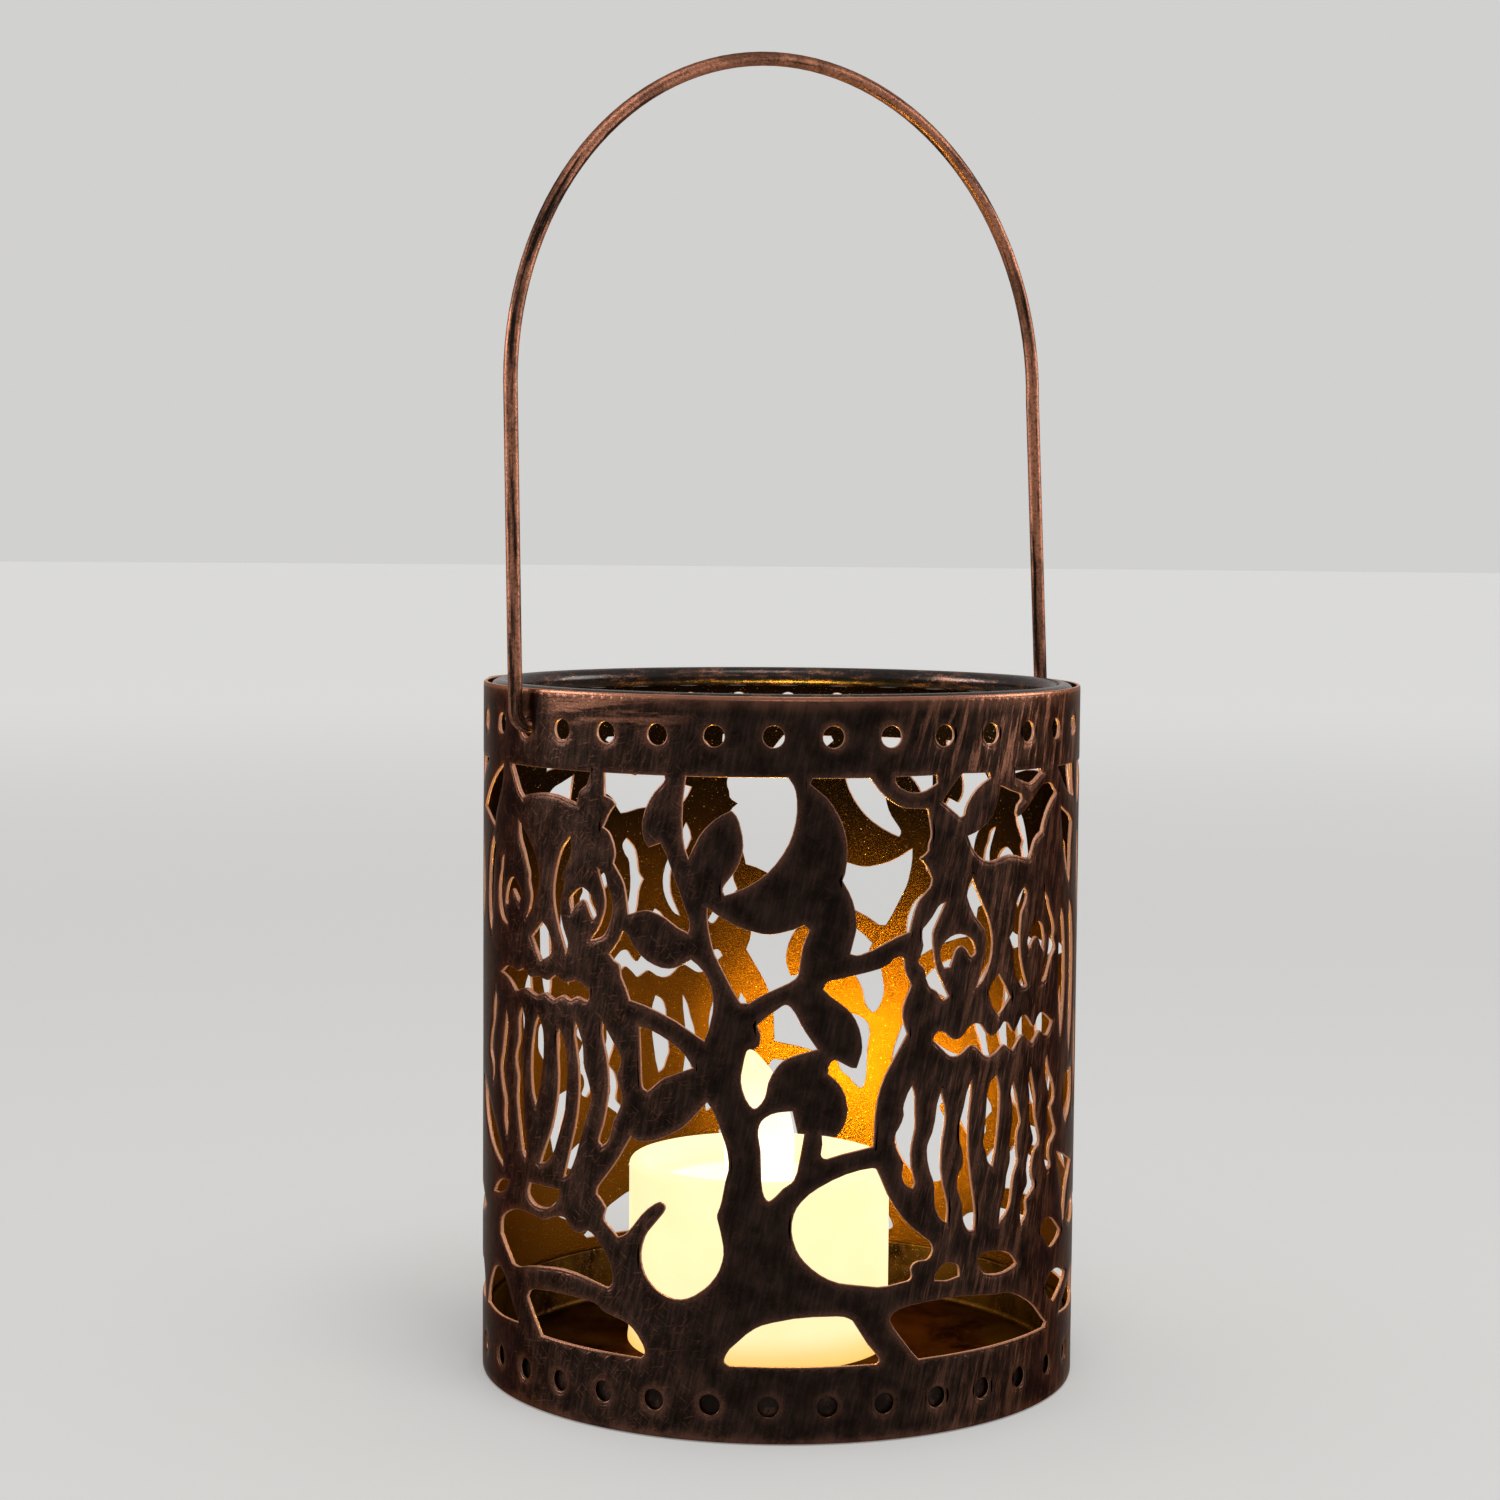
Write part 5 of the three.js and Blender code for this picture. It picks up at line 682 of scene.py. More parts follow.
    "edgeBandWindow": [
      [60.8, 27, 1], [64, 28.8], [68.4, 29.4], [73.2, 27.4, 1], [69.5, 25.9], [64.6, 25.2],
    ],
    "edgeMidWindow": [
      [58.4, 49.4, 1], [61, 50.2], [63.4, 50.1], [63.8, 46.6], [62.2, 44.2], [59.6, 42, 1], [58, 44],
      [57.7, 47],
    ],
    "edgeSlotNear": [
      [55.3, 76.4, 1], [56.6, 74.6], [57.5, 70], [57.7, 64.4], [57, 59.4], [55.6, 56.2, 1], [54.9, 60],
      [54.3, 66], [54.6, 72],
    ],
    "edgeSlotFar": [
      [59.6, 77.4, 1], [61.8, 74.8], [63.2, 70], [63.3, 64], [62.6, 58], [61, 52.6, 1], [60, 57], [60.2, 63],
      [60.4, 69], [59.6, 74],
    ],
    "edgeLeafWindow": [
      [66, 60.4, 1], [68.2, 57], [68.6, 51.6], [67.2, 45.6], [65.6, 43.2, 1], [65.4, 48], [65.2, 54],
    ],
    "edgeTopTriangle": [
      [52.8, 98.4, 1], [60.4, 98.4, 1], [60.8, 96], [61.6, 93.2, 1], [58.4, 94], [55.4, 95.9],
    ],
    "edgeTopLeaf": [
      [54.4, 92.2, 1], [57, 91.2], [59.4, 90.4], [61.1, 89.2, 1], [60.3, 86], [60.1, 82.6], [59.4, 79.8, 1],
      [57.4, 82.2], [55.9, 85.6], [55.1, 89],
    ],
    "edgeSkyWindow": [
      [64.6, 98.3, 1], [75.4, 98.3, 1], [71.6, 96.4], [68, 93.4], [65.6, 91, 1], [64.7, 94.6],
    ],
    "edgeSkyLeaf": [
      [66.4, 88, 1], [69, 86.2], [70.6, 82], [70.9, 77], [69.4, 72, 1], [67.2, 75], [65.9, 80], [65.6, 84.6],
    ],
    "leftOwlEarWindow": [
      [-52.6, 98, 1], [-56, 96.4], [-60, 94], [-63, 91.9], [-65.6, 90.4, 1], [-62.6, 89.9], [-59.6, 89],
      [-56.8, 88, 1], [-56, 90.2], [-54.4, 92.6], [-52.9, 95.4],
    ],
    "leftOwlSideWindow": [
      [-57.4, 86.6, 1], [-59.2, 84.4], [-60.4, 81], [-60.9, 77], [-60.3, 73.8], [-58.6, 71.4, 1], [-57.8, 75],
      [-57.5, 78.6], [-57, 82], [-56.5, 84.6],
    ],
    "leftOwlTailSide": [
      [-65, 47.6, 1], [-62.6, 42.6], [-59.1, 38.9], [-55.6, 36.8], [-52.4, 35.5, 1], [-53.3, 38.2],
      [-55.6, 41], [-58.4, 43.6], [-61.6, 46.4],
    ],
    "leftOwlTailSliver": [
      [-56.9, 30.8, 1], [-54.4, 31], [-51.6, 32], [-50.2, 33.5, 1], [-52.4, 33.5], [-54.8, 32.6],
    ],
}

wallPlan = {
    "radius": 47.5,
    "height": 110,
    "sheet": 0.65,
    "edgeRound": 0.16,
    "edgeReach": 0.50,
    "haloWidth": 1.5,
    "round": 298.45,
    "repeat": 135.7,
    "seamStart": -86.4,
    "lap": 4.6,
    "seamClear": (6.6, 11.6),  # no window comes nearer than this to the start and the end of the sheet
    "seamGap": 0.25,
    "seamRise": 6,
    "holes": 34,
    "holeDiameter": 3.2,
    "holeRows": (5.5, 104.2),
    "holeSides": 22,
    "edgeSamples": 6,
    "edgeMargin": 0.15,
    "mitreLimit": 0.6,
    "reachStep": 0.06,
    "columns": 168,
    "rowPitch": 0.9,
    # a cut edge is turned over these points, each with its side of the sheet and its angle
    "edgeTurns": ((1, 90), (1, 60), (1, 30), (1, 0), (-1, 0), (-1, -45), (-1, -90)),
}


# A closed curve through the points, straight between two sharp corners
def smoothOutline(points, steps=7):
    count = len(points)
    path = []
    for index in range(count):
        start = points[index]
        end = points[(index + 1) % count]
        corners = [len(start) > 2, len(end) > 2]
        here = Vector(start[:2])
        there = Vector(end[:2])
        chord = there - here
        if all(corners):
            path.append(here)
            continue
        leaving = (there - Vector(points[index - 1][:2])) / 2
        arriving = (Vector(points[(index + 2) % count][:2]) - here) / 2
        for slope in (leaving, arriving):
            if slope.length > 1.2 * chord.length:
                slope *= 1.2 * chord.length / slope.length
        if corners[0]:
            leaving = 1.5 * chord - 0.5 * arriving
        if corners[1]:
            arriving = 1.5 * chord - 0.5 * leaving
        for step in range(steps):
            t = step / steps
            point = (2 * t ** 3 - 3 * t ** 2 + 1) * here + (t ** 3 - 2 * t ** 2 + t) * leaving
            path.append(point + (3 * t ** 2 - 2 * t ** 3) * there + (t ** 3 - t ** 2) * arriving)
    return path


# Drops the points that add less than the tolerance to a closed outline
def thinOutline(path, tolerance=0.035):
    kept = [path[0]]
    last = 0
    for index in range(2, len(path) + 1):
        start = path[last]
        end = path[index % len(path)]
        chord = (end - start).normalized()
        between = [p - start for p in path[last + 1:index]]
        if any((gap - chord * gap.dot(chord)).length > tolerance for gap in between):
            last = index - 1
            kept.append(path[last])
    return kept


def sheetOutlines(plan):
    start = plan["seamStart"]
    end = start + plan["round"] + plan["lap"]
    afterStart, beforeEnd = plan["seamClear"]
    corners = ((start, 0), (end, 0), (end, plan["height"]), (start, plan["height"]))
    outlines = [[Vector(corner) for corner in corners]]
    for copy in (-1, 0, 1, 2):
        for points in fretwork.values():
            moved = [(p[0] + copy * plan["repeat"], *p[1:]) for p in points]
            outline = thinOutline(smoothOutline(moved))
            low = min(p.x for p in outline)
            high = max(p.x for p in outline)
            if low > start + afterStart and high < end - beforeEnd:
                outlines.append(outline)
    pitch = plan["round"] / plan["holes"]
    firstHole = (math.radians(-90) - treeAzimuth) * plan["radius"]
    for row in plan["holeRows"]:
        for index in range(-plan["holes"], plan["holes"]):
            middle = firstHole + index * pitch
            if start + plan["lap"] < middle < end - plan["lap"]:
                radius = plan["holeDiameter"] / 2
                rays = [(math.cos(a), math.sin(a)) for a in roundTurns(plan["holeSides"])]
                outlines.append([Vector((middle + radius * x, row + radius * y)) for x, y in rays])
    return outlines


# Fills the sheet with triangles that follow every outline. The columns let it bend smoothly.
def fillSheet(plan):
    outlines = sheetOutlines(plan)
    sides = [side for path in outlines for side in zip(path, path[1:] + path[:1])]
    samples = plan["edgeSamples"]
    near = [start.lerp(end, step / samples) for start, end in sides for step in range(samples)]
    nearest = KDTree(len(near))
    for index, point in enumerate(near):
        nearest.insert((point.x, point.y, 0), index)
    nearest.balance()
    points = [point for path in outlines for point in path]
    edges = []
    windows = []
    first = 0
    for path in outlines:  # the first is the sheet, the others are the windows in it
        loop = list(range(first, first + len(path)))
        first += len(path)
        if path is outlines[0]:
            edges += zip(loop, loop[1:] + loop[:1])
        else:
            area = sum(a.cross(b) for a, b in zip(path, path[1:] + path[:1]))
            windows.append(loop if area > 0 else loop[::-1])
    width = plan["round"] / plan["columns"]
    columns = math.ceil((plan["round"] + plan["lap"]) / width)
    for column in range(1, 2 * columns - 1):
        u = plan["seamStart"] + column * width / 2
        if column % 2 == 0:
            edges.append((len(points), len(points) + 1))
            points += [Vector((u, 0)), Vector((u, plan["height"]))]
        for row in range(1, int(plan["height"] / plan["rowPitch"])):
            v = (row + 0.5 * (column % 2)) * plan["rowPitch"]
            if nearest.find((u, v, 0))[2] > plan["edgeReach"] + plan["edgeMargin"]:
                points.append(Vector((u, v)))
    coords, _, triangles, _, _, windowsOver = delaunay_2d_cdt(points, edges, windows, 0, 1e-4, True)
    return coords, [face for face, over in zip(triangles, windowsOver) if not over], nearest


# Rolls a flat point and its normal round the wall; the outer end rides over the inner end at the seam
def rollPoint(co, normal, plan):
    lapStart = plan["seamStart"] + plan["round"]
    t = min(1, max(0, (co.x - lapStart + plan["seamRise"]) / plan["seamRise"]))
    ramp = t * t * (3 - 2 * t)
    radius = plan["radius"] - plan["sheet"] / 2 + co.z + ramp * (plan["sheet"] + plan["seamGap"])
    angle = co.x / plan["radius"] + treeAzimuth
    outward = Vector((math.sin(angle), -math.cos(angle), 0))
    along = Vector((math.cos(angle), math.sin(angle), 0))
    turned = along * normal.x + Vector((0, 0, 1)) * normal.y + outward * normal.z
    return (outward * radius + Vector((0, 0, co.y))) * mm, turned


def buildWall(plan):
    coords, triangles, nearest = fillSheet(plan)
    distances = [nearest.find((co.x, co.y, 0))[2] for co in coords]
    ahead = {}
    for a, b, c in triangles:
        for start, end in ((a, b), (b, c), (c, a)):
            ahead[(start, end)] = True
    rim = {start: end for start, end in ahead if (end, start) not in ahead}
    behind = {end: start for start, end in rim.items()}
    half = plan["sheet"] / 2
    curl = plan["edgeRound"]
    flat = []  # each vertex as place, normal, nearness to an edge, share of the cut edge
    rings = {}
    for index, co in enumerate(coords):
        nearEdge = max(0, 1 - distances[index] / plan["haloWidth"])
        if index not in rim:
            rings[index] = [len(flat), len(flat) + 1]
            for side in (1, -1):
                flat.append((Vector((co.x, co.y, side * half)), Vector((0, 0, side)), nearEdge, 0))
            continue
        arriving = (co - coords[behind[index]]).normalized()
        leaving = (coords[rim[index]] - co).normalized()
        away = Vector((arriving.y + leaving.y, -arriving.x - leaving.x))
        away = away.normalized() if away.length > 1e-3 else Vector((arriving.y, -arriving.x))
        mitre = 1 / max(plan["mitreLimit"], away.dot(Vector((arriving.y, -arriving.x))))
        wide = plan["edgeReach"]  # less in strips so narrow that the two roundings would meet
        while wide > curl and nearest.find((*(co - away * wide * 2), 0))[2] < wide * 0.95:
            wide -= plan["reachStep"]
        rings[index] = []
        for side, turn in plan["edgeTurns"]:
            angle = math.radians(turn)
            reach = max(wide, curl) if side > 0 else curl
            place = co - away * mitre * reach * (1 - math.cos(angle))
            z = side * (half - curl) + curl * math.sin(angle)
            flatShare = math.cos(angle) * curl / reach
            normal = Vector((away.x * flatShare, away.y * flatShare, math.sin(angle))).normalized()
            rings[index].append(len(flat))
            flat.append((Vector((place.x, place.y, z)), normal, 1, normal.xy.length))
    faces = []
    for a, b, c in triangles:
        faces.append((rings[a][0], rings[b][0], rings[c][0]))
        faces.append((rings[a][-1], rings[c][-1], rings[b][-1]))
    for a, b in rim.items():
        for low in range(len(plan["edgeTurns"]) - 1):
            faces.append((rings[a][low], rings[a][low + 1], rings[b][low + 1], rings[b][low]))
    rolled = [rollPoint(place, normal, plan) for place, normal, _, _ in flat]
    mesh = bpy.data.meshes.new("fretWall")
    mesh.from_pydata([place for place, _ in rolled], [], faces)
    marks = {
        "outside": [0.5 + place.z / plan["sheet"] for place, _, _, _ in flat],
        "nearEdge": [near for _, _, near, _ in flat],
        "cutEdge": [cut for _, _, _, cut in flat],
    }
    for name, values in marks.items():
        mesh.attributes.new(name, "FLOAT", "POINT").data.foreach_set("value", values)
    unrolled = mesh.attributes.new("unrolled", "FLOAT_VECTOR", "POINT")
    unrolled.data.foreach_set("vector", [value for place, _, _, _ in flat for value in place])
    smoothShade(mesh)
    mesh.normals_split_custom_set_from_vertices([normal for _, normal in rolled])
    print("wall:", len(mesh.polygons), "faces")
    newPiece("fretWall", mesh, wallMetal(), "lantern", "wall_sheet")


buildWall(wallPlan)


# Rim ring and base tray

ringPlan = {
    "radius": 44.9,
    "wire": 3.3,
    "height": 108.65,
    "sides": 20,
    "steps": 144,
    "finish": {"copper": 0.42, "gloss": 0.20, "lacquer": 0.4, "spread": 0.04, "stretch": (300, 300, 1500)},
}
trayPlan = {
    "radius": 46.55,
    "thickness": 0.8,
    "flange": 9.7,
    "corner": 1.7,
    "edge": 0.3,
    "steps": 144,
    "finish": {"copper": 0.12, "gloss": 0.06, "lacquer": 0.0, "spread": 0.04, "stretch": (900, 900, 600)},
}


def buildRing(plan):
    half = plan["wire"] / 2
    turns = roundTurns(plan["sides"])
    profile = [(plan["radius"] + half * math.cos(a), plan["height"] + half * math.sin(a)) for a in turns]
    mesh = turnedMesh("rimRing", profile, steps=plan["steps"], closed=True)
    newPiece("rimRing", mesh, plainMetal("ringMetal", plan["finish"]), "lantern", "rim_ring")


# 1 on the faces that look up or inward, 0 on the outside and the underside
def insideTray(paint):
    spot = paint.millimetres()
    height = paint.part(spot, "Z")
    flatSpot = paint.node("VectorMath", {"operation": "MULTIPLY"}, {0: spot, 1: (1, 1, 0)})
    radius = paint.node("VectorMath", {"operation": "LENGTH"}, {0: flatSpot}, "Value")
    outermost = trayPlan["radius"] - trayPlan["thickness"] / 2
    return (1 - radius.rising(outermost - 0.1, outermost + 0.1)) * height.rising(0.3, 0.5)


def buildTray(plan):
    radius = plan["radius"]
    inner = radius - plan["thickness"]
    corners = [
        (0, 0),
        (radius, 0, plan["corner"]),
        (radius, plan["flange"], plan["edge"]),
        (inner, plan["flange"], plan["edge"]),
        (inner, plan["thickness"], plan["corner"] - plan["thickness"]),
        (0, plan["thickness"]),
    ]
    mesh = turnedMesh("baseTray", roundedProfile(corners), steps=plan["steps"])
    metal = plainMetal("trayMetal", plan["finish"], inside=insideTray)
    newPiece("baseTray", mesh, metal, "lantern", "base_tray")


buildRing(ringPlan)
buildTray(trayPlan)
print("ring and tray done")


# Bail: one wire bent by hand, so its two legs lean a little differently

bailPlan = {
    "wire": 2.2,
    "pivot": 104.2,
    "innerEnd": 43.45,
    "bend": 2.4,
    "legs": {-1: (49.4, 50.4), 1: (54.3, 51.5)},  # distance from the middle at the pivot and at the arch
    "archStart": 156.2,
    "archRise": 51.8,
    "bendSteps": 8,
    "legSteps": 14,
    "archSteps": 32,
    "sides": 16,
    "finish": {"copper": 0.85, "gloss": 0.14, "lacquer": 0.0, "spread": 0.14, "stretch": (0.045, 0.9, 0.9)},
}


def bailPath(plan):
    halves = {}
    for side, (low, high) in plan["legs"].items():
        half = [(side * plan["innerEnd"], plan["pivot"])]
        for step in range(plan["bendSteps"] + 1):
            angle = math.pi / 2 * step / plan["bendSteps"]
            x = low - plan["bend"] + plan["bend"] * math.sin(angle)
            half.append((side * x, plan["pivot"] + plan["bend"] * (1 - math.cos(angle))))
        for step in range(1, plan["legSteps"]):
            t = step / plan["legSteps"]
            z = plan["pivot"] + plan["bend"] + t * (plan["archStart"] - plan["pivot"] - plan["bend"])
            half.append((side * (low + (high - low) * t), z))
        for step in range(plan["archSteps"]):
            angle = math.pi / 2 * step / plan["archSteps"]
            z = plan["archStart"] + plan["archRise"] * math.sin(angle)
            half.append((side * high * math.cos(angle), z))
        halves[side] = half
    top = (0, plan["archStart"] + plan["archRise"])
    return halves[-1] + [top] + halves[1][::-1]


def buildBail(plan):
    path = [Vector((x, 0, z)) for x, z in bailPath(plan)]
    bm = bmesh.new()
    sides = plan["sides"]
    rings = []
    worn = []
    length = 0
    for index, point in enumerate(path):
        length += (point - path[max(index - 1, 0)]).length
        along = (path[min(index + 1, len(path) - 1)] - path[max(index - 1, 0)]).normalized()
        across = Vector((along.z, 0, -along.x))
        ring = []
        for angle in roundTurns(sides):
            offset = across * math.cos(angle) + Vector((0, math.sin(angle), 0))
            ring.append(bm.verts.new((point + offset * plan["wire"] / 2) * mm))
            worn.append((length, math.cos(angle), math.sin(angle)))
        rings.append(ring)
    for low, high in zip(rings, rings[1:]):
        for side in range(sides):
            after = (side + 1) % sides
            bm.faces.new((low[side], low[after], high[after], high[side]))
    bm.faces.new(rings[0][::-1])
    bm.faces.new(rings[-1])
    bmesh.ops.recalc_face_normals(bm, faces=bm.faces)
    mesh = meshFrom(bm, "bailWire")
    wear = mesh.attributes.new("alongWire", "FLOAT_VECTOR", "POINT")
    wear.data.foreach_set("vector", [value for spot in worn for value in spot])
    metal = plainMetal("bailMetal", plan["finish"], "alongWire")
    newPiece("bailWire", mesh, metal, "bail", "bail_handle")


buildBail(bailPlan)
print("bail done")


# Candle: a hollow shell that glows, with a dished top, and a soft flame that leans a little

candlePlan = {
    "centre": (2.3, 8.4, 1.1),
    "radius": 21.35,
    "height": 30.3,
    "wall": 2.3,
    "recess": 4.2,
    "flameHole": 5.5,
    "flameRadius": 5.9,
    "flameTop": 48.0,
    "flameLean": (-1.3, 0.94),
    "leanFrom": 3,
    "steps": 128,
    "flameSteps": 48,
    # each place is its distance inward from the flame's radius and its height over the dish
    "flameOutside": [(0.7, -3.3), (0.7, 0.4), (0.35, 2.2), (0, 5.5), (0.1, 8.5), (0.6, 11.8), (1.45, 15.1),
                     (2.5, 17.7), (3.6, 19.6), (4.7, 21.1), (5.4, 21.75)],
    # and these are measured from the axis
    "flameInside": [(0, 13.5), (2.4, 12.0), (3.6, 8.8), (3.9, 5.0), (3.4, 0.9), (3.4, -3.3)],
    "shellColour": (0.62, 0.52, 0.29, 1),
    "shellGlow": 0.98,
    "flameColour": (0.74, 0.68, 0.52, 1),
    "flameGlow": 1.05,
    "glows": {
        "middle": (1.0, 0.95, 0.74),
        "side": (1.0, 0.90, 0.50),
        "foot": (1.0, 0.50, 0.04),
        "mottle": (1.0, 0.78, 0.26),
        # an amber tint on the dish's sloping wall, which is painted shade
        "dishShade": (1.0, 0.74, 0.30),
        "tip": (1.0, 0.80, 0.36),
    },
}


def candleWax():
    paint = Paint("candleWax")
    place = paint.millimetres()
    height = paint.part(place, "Z")
    radial = paint.mark("fromAxis")
    mottle = paint.grain(place, 0.16, 3)
    foot = 1 - height.rising(1.0, 7.5)
    # painted shade: an amber ring on the sloping wall of the dish
    dishShade = radial.rising(0.72, 0.80) * (1 - radial.rising(0.84, 0.90)) * height.rising(20, 24)
    glows = candlePlan["glows"]
    glow = paint.mix(radial.rising(0.55, 1.0), glows["middle"], glows["side"])
    glow = paint.mix(foot * 0.8, glow, glows["foot"])
    glow = paint.mix(mottle.rising(0.35, 0.75) * 0.15, glow, glows["mottle"])
    glow = paint.mix(dishShade * 0.6, glow, glows["dishShade"])
    return paint.finish(
        Base_Color=candlePlan["shellColour"],
        Roughness=0.42,
        Emission_Color=glow,
        Emission_Strength=candlePlan["shellGlow"],
        Normal=paint.bump(paint.grain(place, 1.1, 3), 0.12 * mm, 0.35),
    )


def flameWax():
    paint = Paint("flameWax")
    place = paint.millimetres()
    height = paint.part(place, "Z")
    glows = candlePlan["glows"]
    return paint.finish(
        Base_Color=candlePlan["flameColour"],
        Roughness=0.3,
        Emission_Color=paint.mix(height.rising(34, 49), glows["middle"], glows["tip"]),
        Emission_Strength=candlePlan["flameGlow"],
        Normal=paint.bump(paint.grain(place, 0.9, 2), 0.10 * mm, 0.25),
    )


def buildCandle(plan):
    radius = plan["radius"]
    inner = radius - plan["wall"]
    top = plan["height"]
    dish = top - plan["recess"]
    corners = [
        (inner, 0, 0.3),
        (radius + 0.2, 0, 0.5),
        (radius + 0.15, 0.9, 0.5),
        (radius, 2.0, 1.0),
        (radius, top, 1.5),
        (radius - 2.8, top, 1.4),
        (radius - 3.3, dish, 1.5),
        (plan["flameHole"], dish, 0.4),
        (plan["flameHole"], dish - 1.5, 0.2),
        (inner, dish - 1.5, 1.2),
    ]
    profile = roundedProfile(corners, closed=True, steps=6)
    mesh = turnedMesh("candleShell", profile, plan["centre"], plan["steps"], True)
    centre = Vector(plan["centre"]) * mm
    fromAxis = mesh.attributes.new("fromAxis", "FLOAT", "POINT")
    for index, vert in enumerate(mesh.vertices):
        fromAxis.data[index].value = (vert.co - centre).xy.length / (radius * mm)
    newPiece("candleShell", mesh, candleWax(), "candle", "candle_shell")


def buildFlame(plan):
    dish = plan["height"] - plan["recess"]
    rise = plan["flameTop"] - dish
    outside = [(plan["flameRadius"] - inward, z) for inward, z in plan["flameOutside"]]
    profile = [(r, dish + z) for r, z in plan["flameInside"] + outside + [(0, rise)]]
    mesh = turnedMesh("flameTip", profile, steps=plan["flameSteps"])
    for vert in mesh.vertices:
        t = max(0, (vert.co.z / mm - dish - plan["leanFrom"]) / (rise - plan["leanFrom"]))
        bend = Vector((*plan["flameLean"], 0)) * t * t
        vert.co += (Vector(plan["centre"]) + bend) * mm
    piece = newPiece("flameTip", mesh, flameWax(), "candle", "flame_tip")
    rounded = piece.modifiers.new("rounded", "SUBSURF")
    rounded.levels = rounded.render_levels = 1


buildCandle(candlePlan)
buildFlame(candlePlan)
print("candle done")


# Parts inside the candle: the solids keep their shape and get finishes and softened edges

def plasticFinish(name, colour, roughness):
    paint = Paint(name)
    place = paint.millimetres()
    cloud = paint.grain(place, 0.35, 3)
    fine = paint.grain(place, 4.5, 3)
    tinted = paint.mix(cloud * 0.5, colour, tuple(c * 0.8 for c in colour))
    return paint.finish(
        Base_Color=tinted,
        Roughness=roughness + 0.12 * (cloud - 0.5),
        Normal=paint.bump(fine, 0.05 * mm, 0.4),
    )


def stripFinish(name, colour, roughness):
    paint = Paint(name)
    brushed = paint.grain(paint.place(scale=(400, 4000, 4000)), 1.0, 3)
    tinted = paint.mix(brushed, colour, tuple(c * 0.72 for c in colour))
    return paint.finish(
        Base_Color=tinted,
        Metallic=1.0,
        Roughness=roughness + 0.15 * (brushed - 0.5),
        Normal=paint.bump(brushed, 0.02 * mm, 0.4),
    )


def boardFinish():
    paint = Paint("boardGreen")
    place = paint.millimetres()
    bricks = {"Vector": place, "Scale": 0.28, "Mortar Size": 0.09}
    tracks = paint.node("TexBrick", {"offset": 0.5}, bricks, "Fac")
    patch = paint.grain(place, 0.2, 1).rising(0.45, 0.55)
    return paint.finish(
        Base_Color=paint.mix(tracks * patch, (0.018, 0.10, 0.045), (0.05, 0.21, 0.09)),
        Roughness=0.35 + 0.1 * patch,
        Normal=paint.bump(tracks, 0.04 * mm, 0.6),
    )


def lensFinish():
    paint = Paint("lampLens")
    place = paint.millimetres()
    return paint.finish(
        Base_Color=(1.0, 0.9, 0.66, 1),
        Roughness=0.12,
        Emission_Color=paint.mix(paint.grain(place, 0.5, 1), (1.0, 0.84, 0.45), (1.0, 0.70, 0.24)),
        Emission_Strength=1.0,
    )


brass = (0.78, 0.60, 0.27)
softEdges = {"width": 0.12 * mm, "segments": 2, "limit_method": "ANGLE", "angle_limit": math.radians(40)}
insideFinishes = {
    "led_bulb": lensFinish(),
    "circuit_board": boardFinish(),
    "flicker_chip": plasticFinish("chipResin", (0.012, 0.012, 0.014), 0.32),
    "candle_base": plasticFinish("basePlastic", (0.80, 0.73, 0.55), 0.45),
    "battery_door": plasticFinish("doorPlastic", (0.77, 0.70, 0.53), 0.5),
    "switch_slider": plasticFinish("switchPlastic", (0.016, 0.016, 0.018), 0.42),
    "coin_cell": stripFinish("cellSteel", (0.60, 0.61, 0.63), 0.28),
    "contact_positive": stripFinish("contactBrass", brass, 0.3),
    "contact_negative": stripFinish("contactBrassTop", brass, 0.3),
    "switch_leaf": stripFinish("contactBrassLeaf", brass, 0.3),
}

for nodeName, finish in insideFinishes.items():
    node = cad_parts[nodeName]
    node.data.materials.clear()
    node.data.materials.append(finish)
    softened = node.modifiers.new("softened", "BEVEL")
    for setting, value in softEdges.items():
        setattr(softened, setting, value)
print("inside parts finished")


# Studio: pale floor, soft light, the candle's own warm light and the camera

studio = {
    "floorColour": (0.84, 0.835, 0.82),
    "floorRadius": 12,
    "farGlow": (0.34, 0.34, 0.335),
    "worldColour": (1.0, 0.995, 0.985),
    "worldStrength": 0.40,
    "backdropStrength": 0.64,
    "aim": (0, 0, 0.07),
    "softboxes": {
        "leftSoftbox": {"place": (-0.84, 0.60, 0.40), "size": 0.5, "power": 5.5, "lightsFloor": False},
        "rightSoftbox": {"place": (0.97, -0.42, 0.40), "size": 0.5, "power": 5.5, "lightsFloor": False},
        "topSoftbox": {"place": (-0.10, -0.30, 0.95), "size": 0.4, "power": 2.0, "lightsFloor": True},
    },
}
candleLamp = {  # each beam is tilt from straight down, heading from +Y in degrees, watts and spread
    "beams": (
        (90, 300, 0.058, 95),
        (90, 25, 0.010, 150),
        (90, 120, 0.018, 150),
        (90, 210, 0.030, 150),
        (90, 275, 0.022, 150),
        (180, 0, 0.045, 130),
    ),
    "colour": (1.0, 0.70, 0.035),
    "size": 0.009,
    "height": 0.040,
    "lights": ("fretWall", "rimRing", "baseTray", "bailWire"),
}
cameraPlan = {
    "place": (-0.28390, -0.39494, 0.13350),
    "heading": 35.12,
    "down": 4.066,
    "roll": 0.447,
    "lens": 73.06,
    "sensor": 36,
    "nearest": 0.01,
}


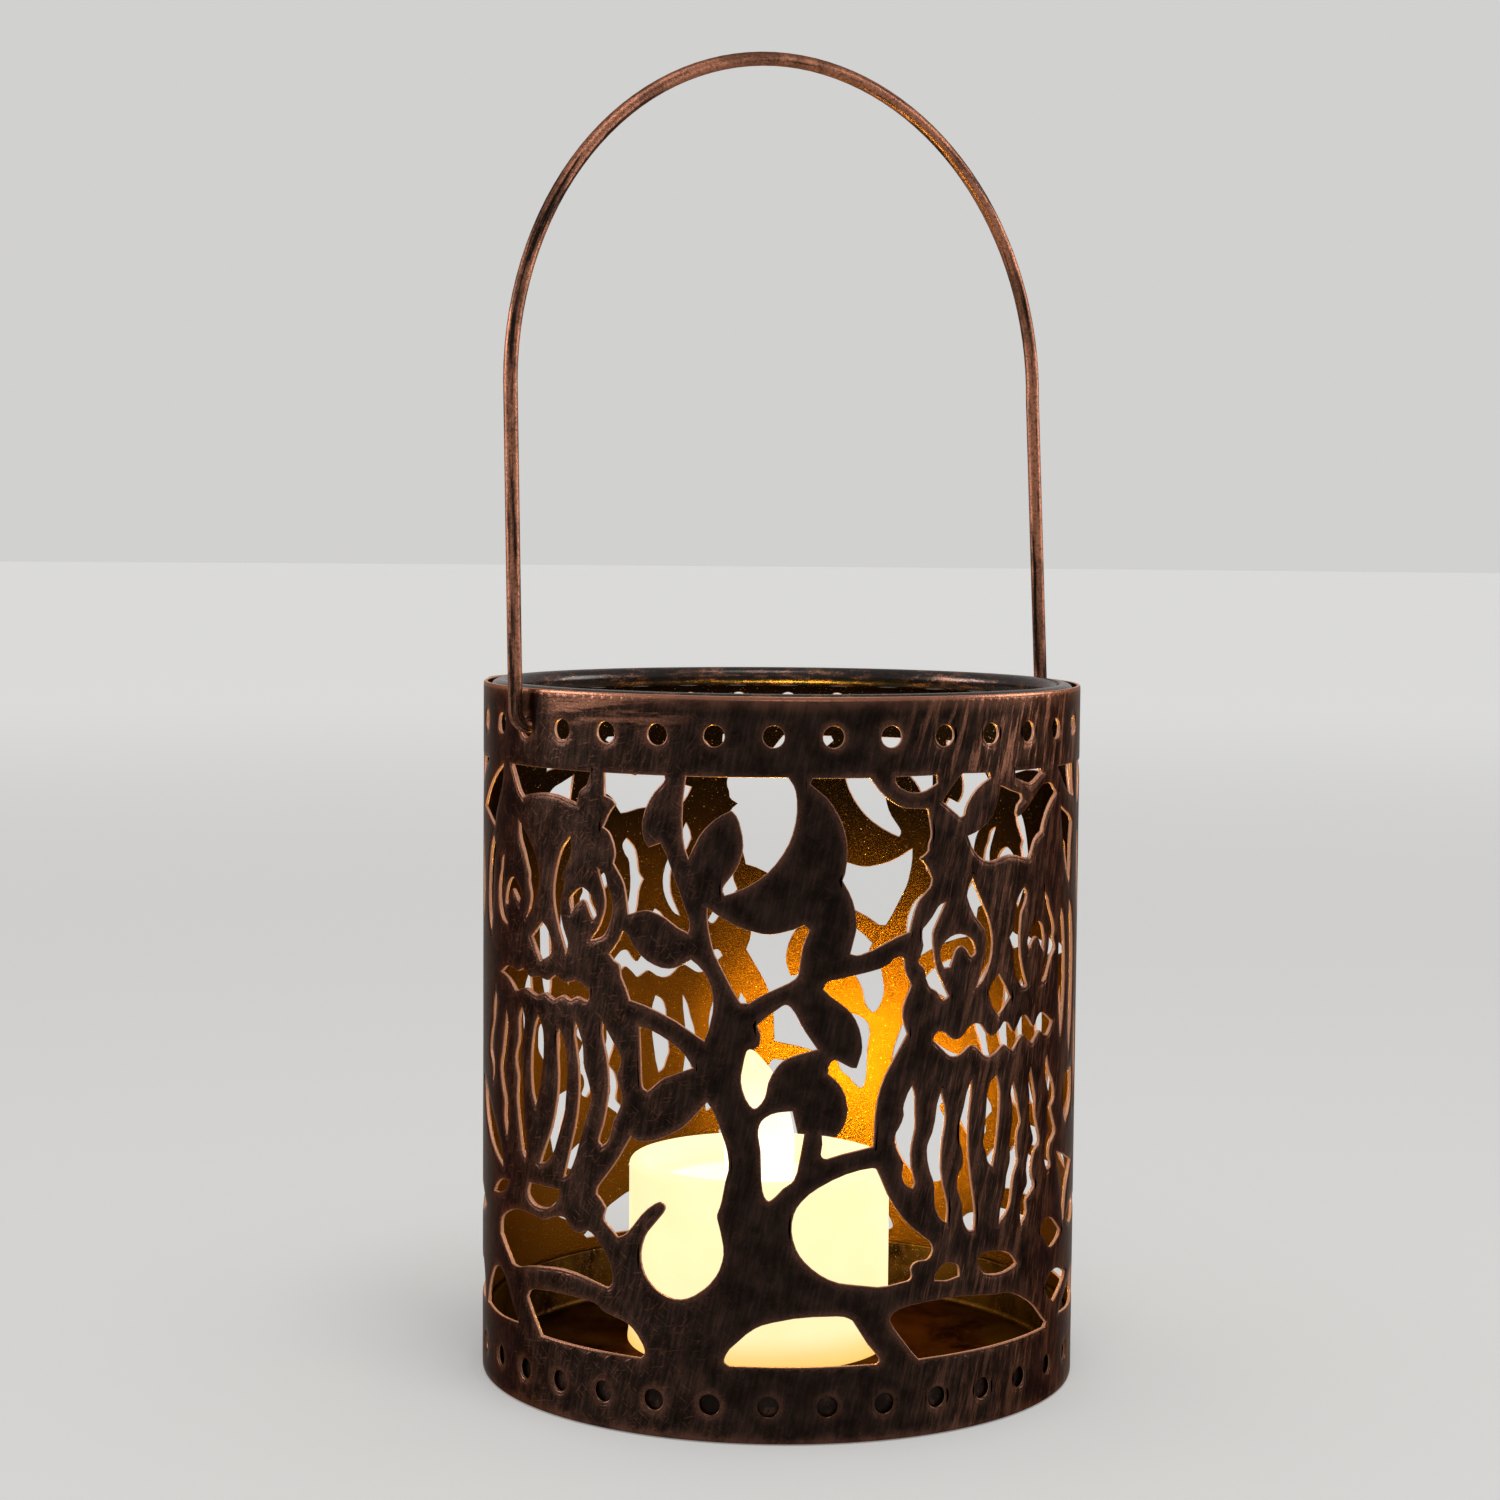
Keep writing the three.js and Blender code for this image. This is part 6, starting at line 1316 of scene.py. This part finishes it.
def buildFloor():
    paint = Paint("studioFloor")
    spot = paint.node("VectorMath", {"operation": "LENGTH"}, {0: paint.place()}, "Value")
    glow = paint.mix(0.55 + 0.45 * spot.rising(0.2, 2.0), (0, 0, 0), studio["farGlow"])
    floorColour = (*studio["floorColour"], 1)
    paint.finish(Base_Color=floorColour, Roughness=0.9, Emission_Color=glow, Emission_Strength=1)
    bm = bmesh.new()
    bmesh.ops.create_circle(bm, cap_ends=True, segments=96, radius=studio["floorRadius"])
    mesh = meshFrom(bm, "studioFloor")
    mesh.materials.append(paint.material)
    floor = bpy.data.objects.new("studioFloor", mesh)
    floor.location.z = cadBounds[0][2] - 0.0002
    bpy.context.collection.objects.link(floor)
    return floor


def buildWorld():
    world = bpy.data.worlds.new("studioWorld")
    paint = Paint("studioWorld", world)
    seen, mirrored, through = (
        paint.node("LightPath", output=f"Is {ray} Ray") for ray in ("Camera", "Glossy", "Transmission")
    )
    brighter = studio["backdropStrength"] - studio["worldStrength"]
    strength = studio["worldStrength"] + brighter * seen.most(mirrored).most(through)
    sky = paint.node("Background", values={"Color": (*studio["worldColour"], 1), "Strength": strength})
    paint.node("OutputWorld", values={"Surface": sky})
    bpy.context.scene.world = world


# The two side lights would burn out the floor beneath them, so they don't light it
def keepOffFloor(lamp, floor):
    lit = bpy.data.collections.new(lamp.name + "Receivers")
    lit.objects.link(floor)
    lit.collection_objects[0].light_linking.link_state = "EXCLUDE"
    lamp.light_linking.receiver_collection = lit


def addDiskLight(name, size, power):
    light = bpy.data.lights.new(name, "AREA")
    light.shape = "DISK"
    light.size = size
    light.energy = power
    lamp = bpy.data.objects.new(name, light)
    bpy.context.collection.objects.link(lamp)
    return lamp


def addSoftbox(name, plan, floor):
    lamp = addDiskLight(name, plan["size"], plan["power"])
    lamp.location = plan["place"]
    aim = Vector(studio["aim"]) - Vector(plan["place"])
    lamp.rotation_euler = aim.to_track_quat("-Z", "Y").to_euler()
    if not plan["lightsFloor"]:
        keepOffFloor(lamp, floor)


# The flame lights the metal round it. It doesn't shade its own light.
def addCandleLamps(plan):
    lit = bpy.data.collections.new("litByTheCandle")
    for name in plan["lights"]:
        lit.objects.link(bpy.data.objects[name])
    x, y, _ = candlePlan["centre"]
    for tilt, heading, power, spread in plan["beams"]:
        lamp = addDiskLight(f"candleLamp{tilt}at{heading}", plan["size"], power)
        lamp.data.spread = math.radians(spread)
        lamp.data.color = plan["colour"]
        lamp.location = (x * mm, y * mm, plan["height"])
        lamp.rotation_euler = (math.radians(tilt), 0, math.radians(heading))
        lamp.visible_camera = False
        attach(lamp, "candle")
        lamp.light_linking.receiver_collection = lit
        lamp.light_linking.blocker_collection = lit


def addCamera(plan):
    heading, down, roll = (math.radians(plan[key]) for key in ("heading", "down", "roll"))
    ahead = Vector((math.sin(heading) * math.cos(down), math.cos(heading) * math.cos(down), -math.sin(down)))
    level = Vector((math.cos(heading), -math.sin(heading), 0))
    above = level.cross(ahead)
    right = level * math.cos(roll) + above * math.sin(roll)
    up = above * math.cos(roll) - level * math.sin(roll)
    camera = bpy.data.objects.new("camera", bpy.data.cameras.new("camera"))
    camera.data.lens = plan["lens"]
    camera.data.sensor_width = plan["sensor"]
    camera.data.clip_start = plan["nearest"]
    turned = Matrix((right, up, -ahead)).transposed().to_4x4()
    camera.matrix_world = Matrix.Translation(plan["place"]) @ turned
    bpy.context.collection.objects.link(camera)
    bpy.context.scene.camera = camera


studioFloor = buildFloor()
buildWorld()
for softboxName, softboxPlan in studio["softboxes"].items():
    addSoftbox(softboxName, softboxPlan, studioFloor)
addCandleLamps(candleLamp)
addCamera(cameraPlan)
bpy.context.scene.view_settings.view_transform = "Standard"
print("studio ready")
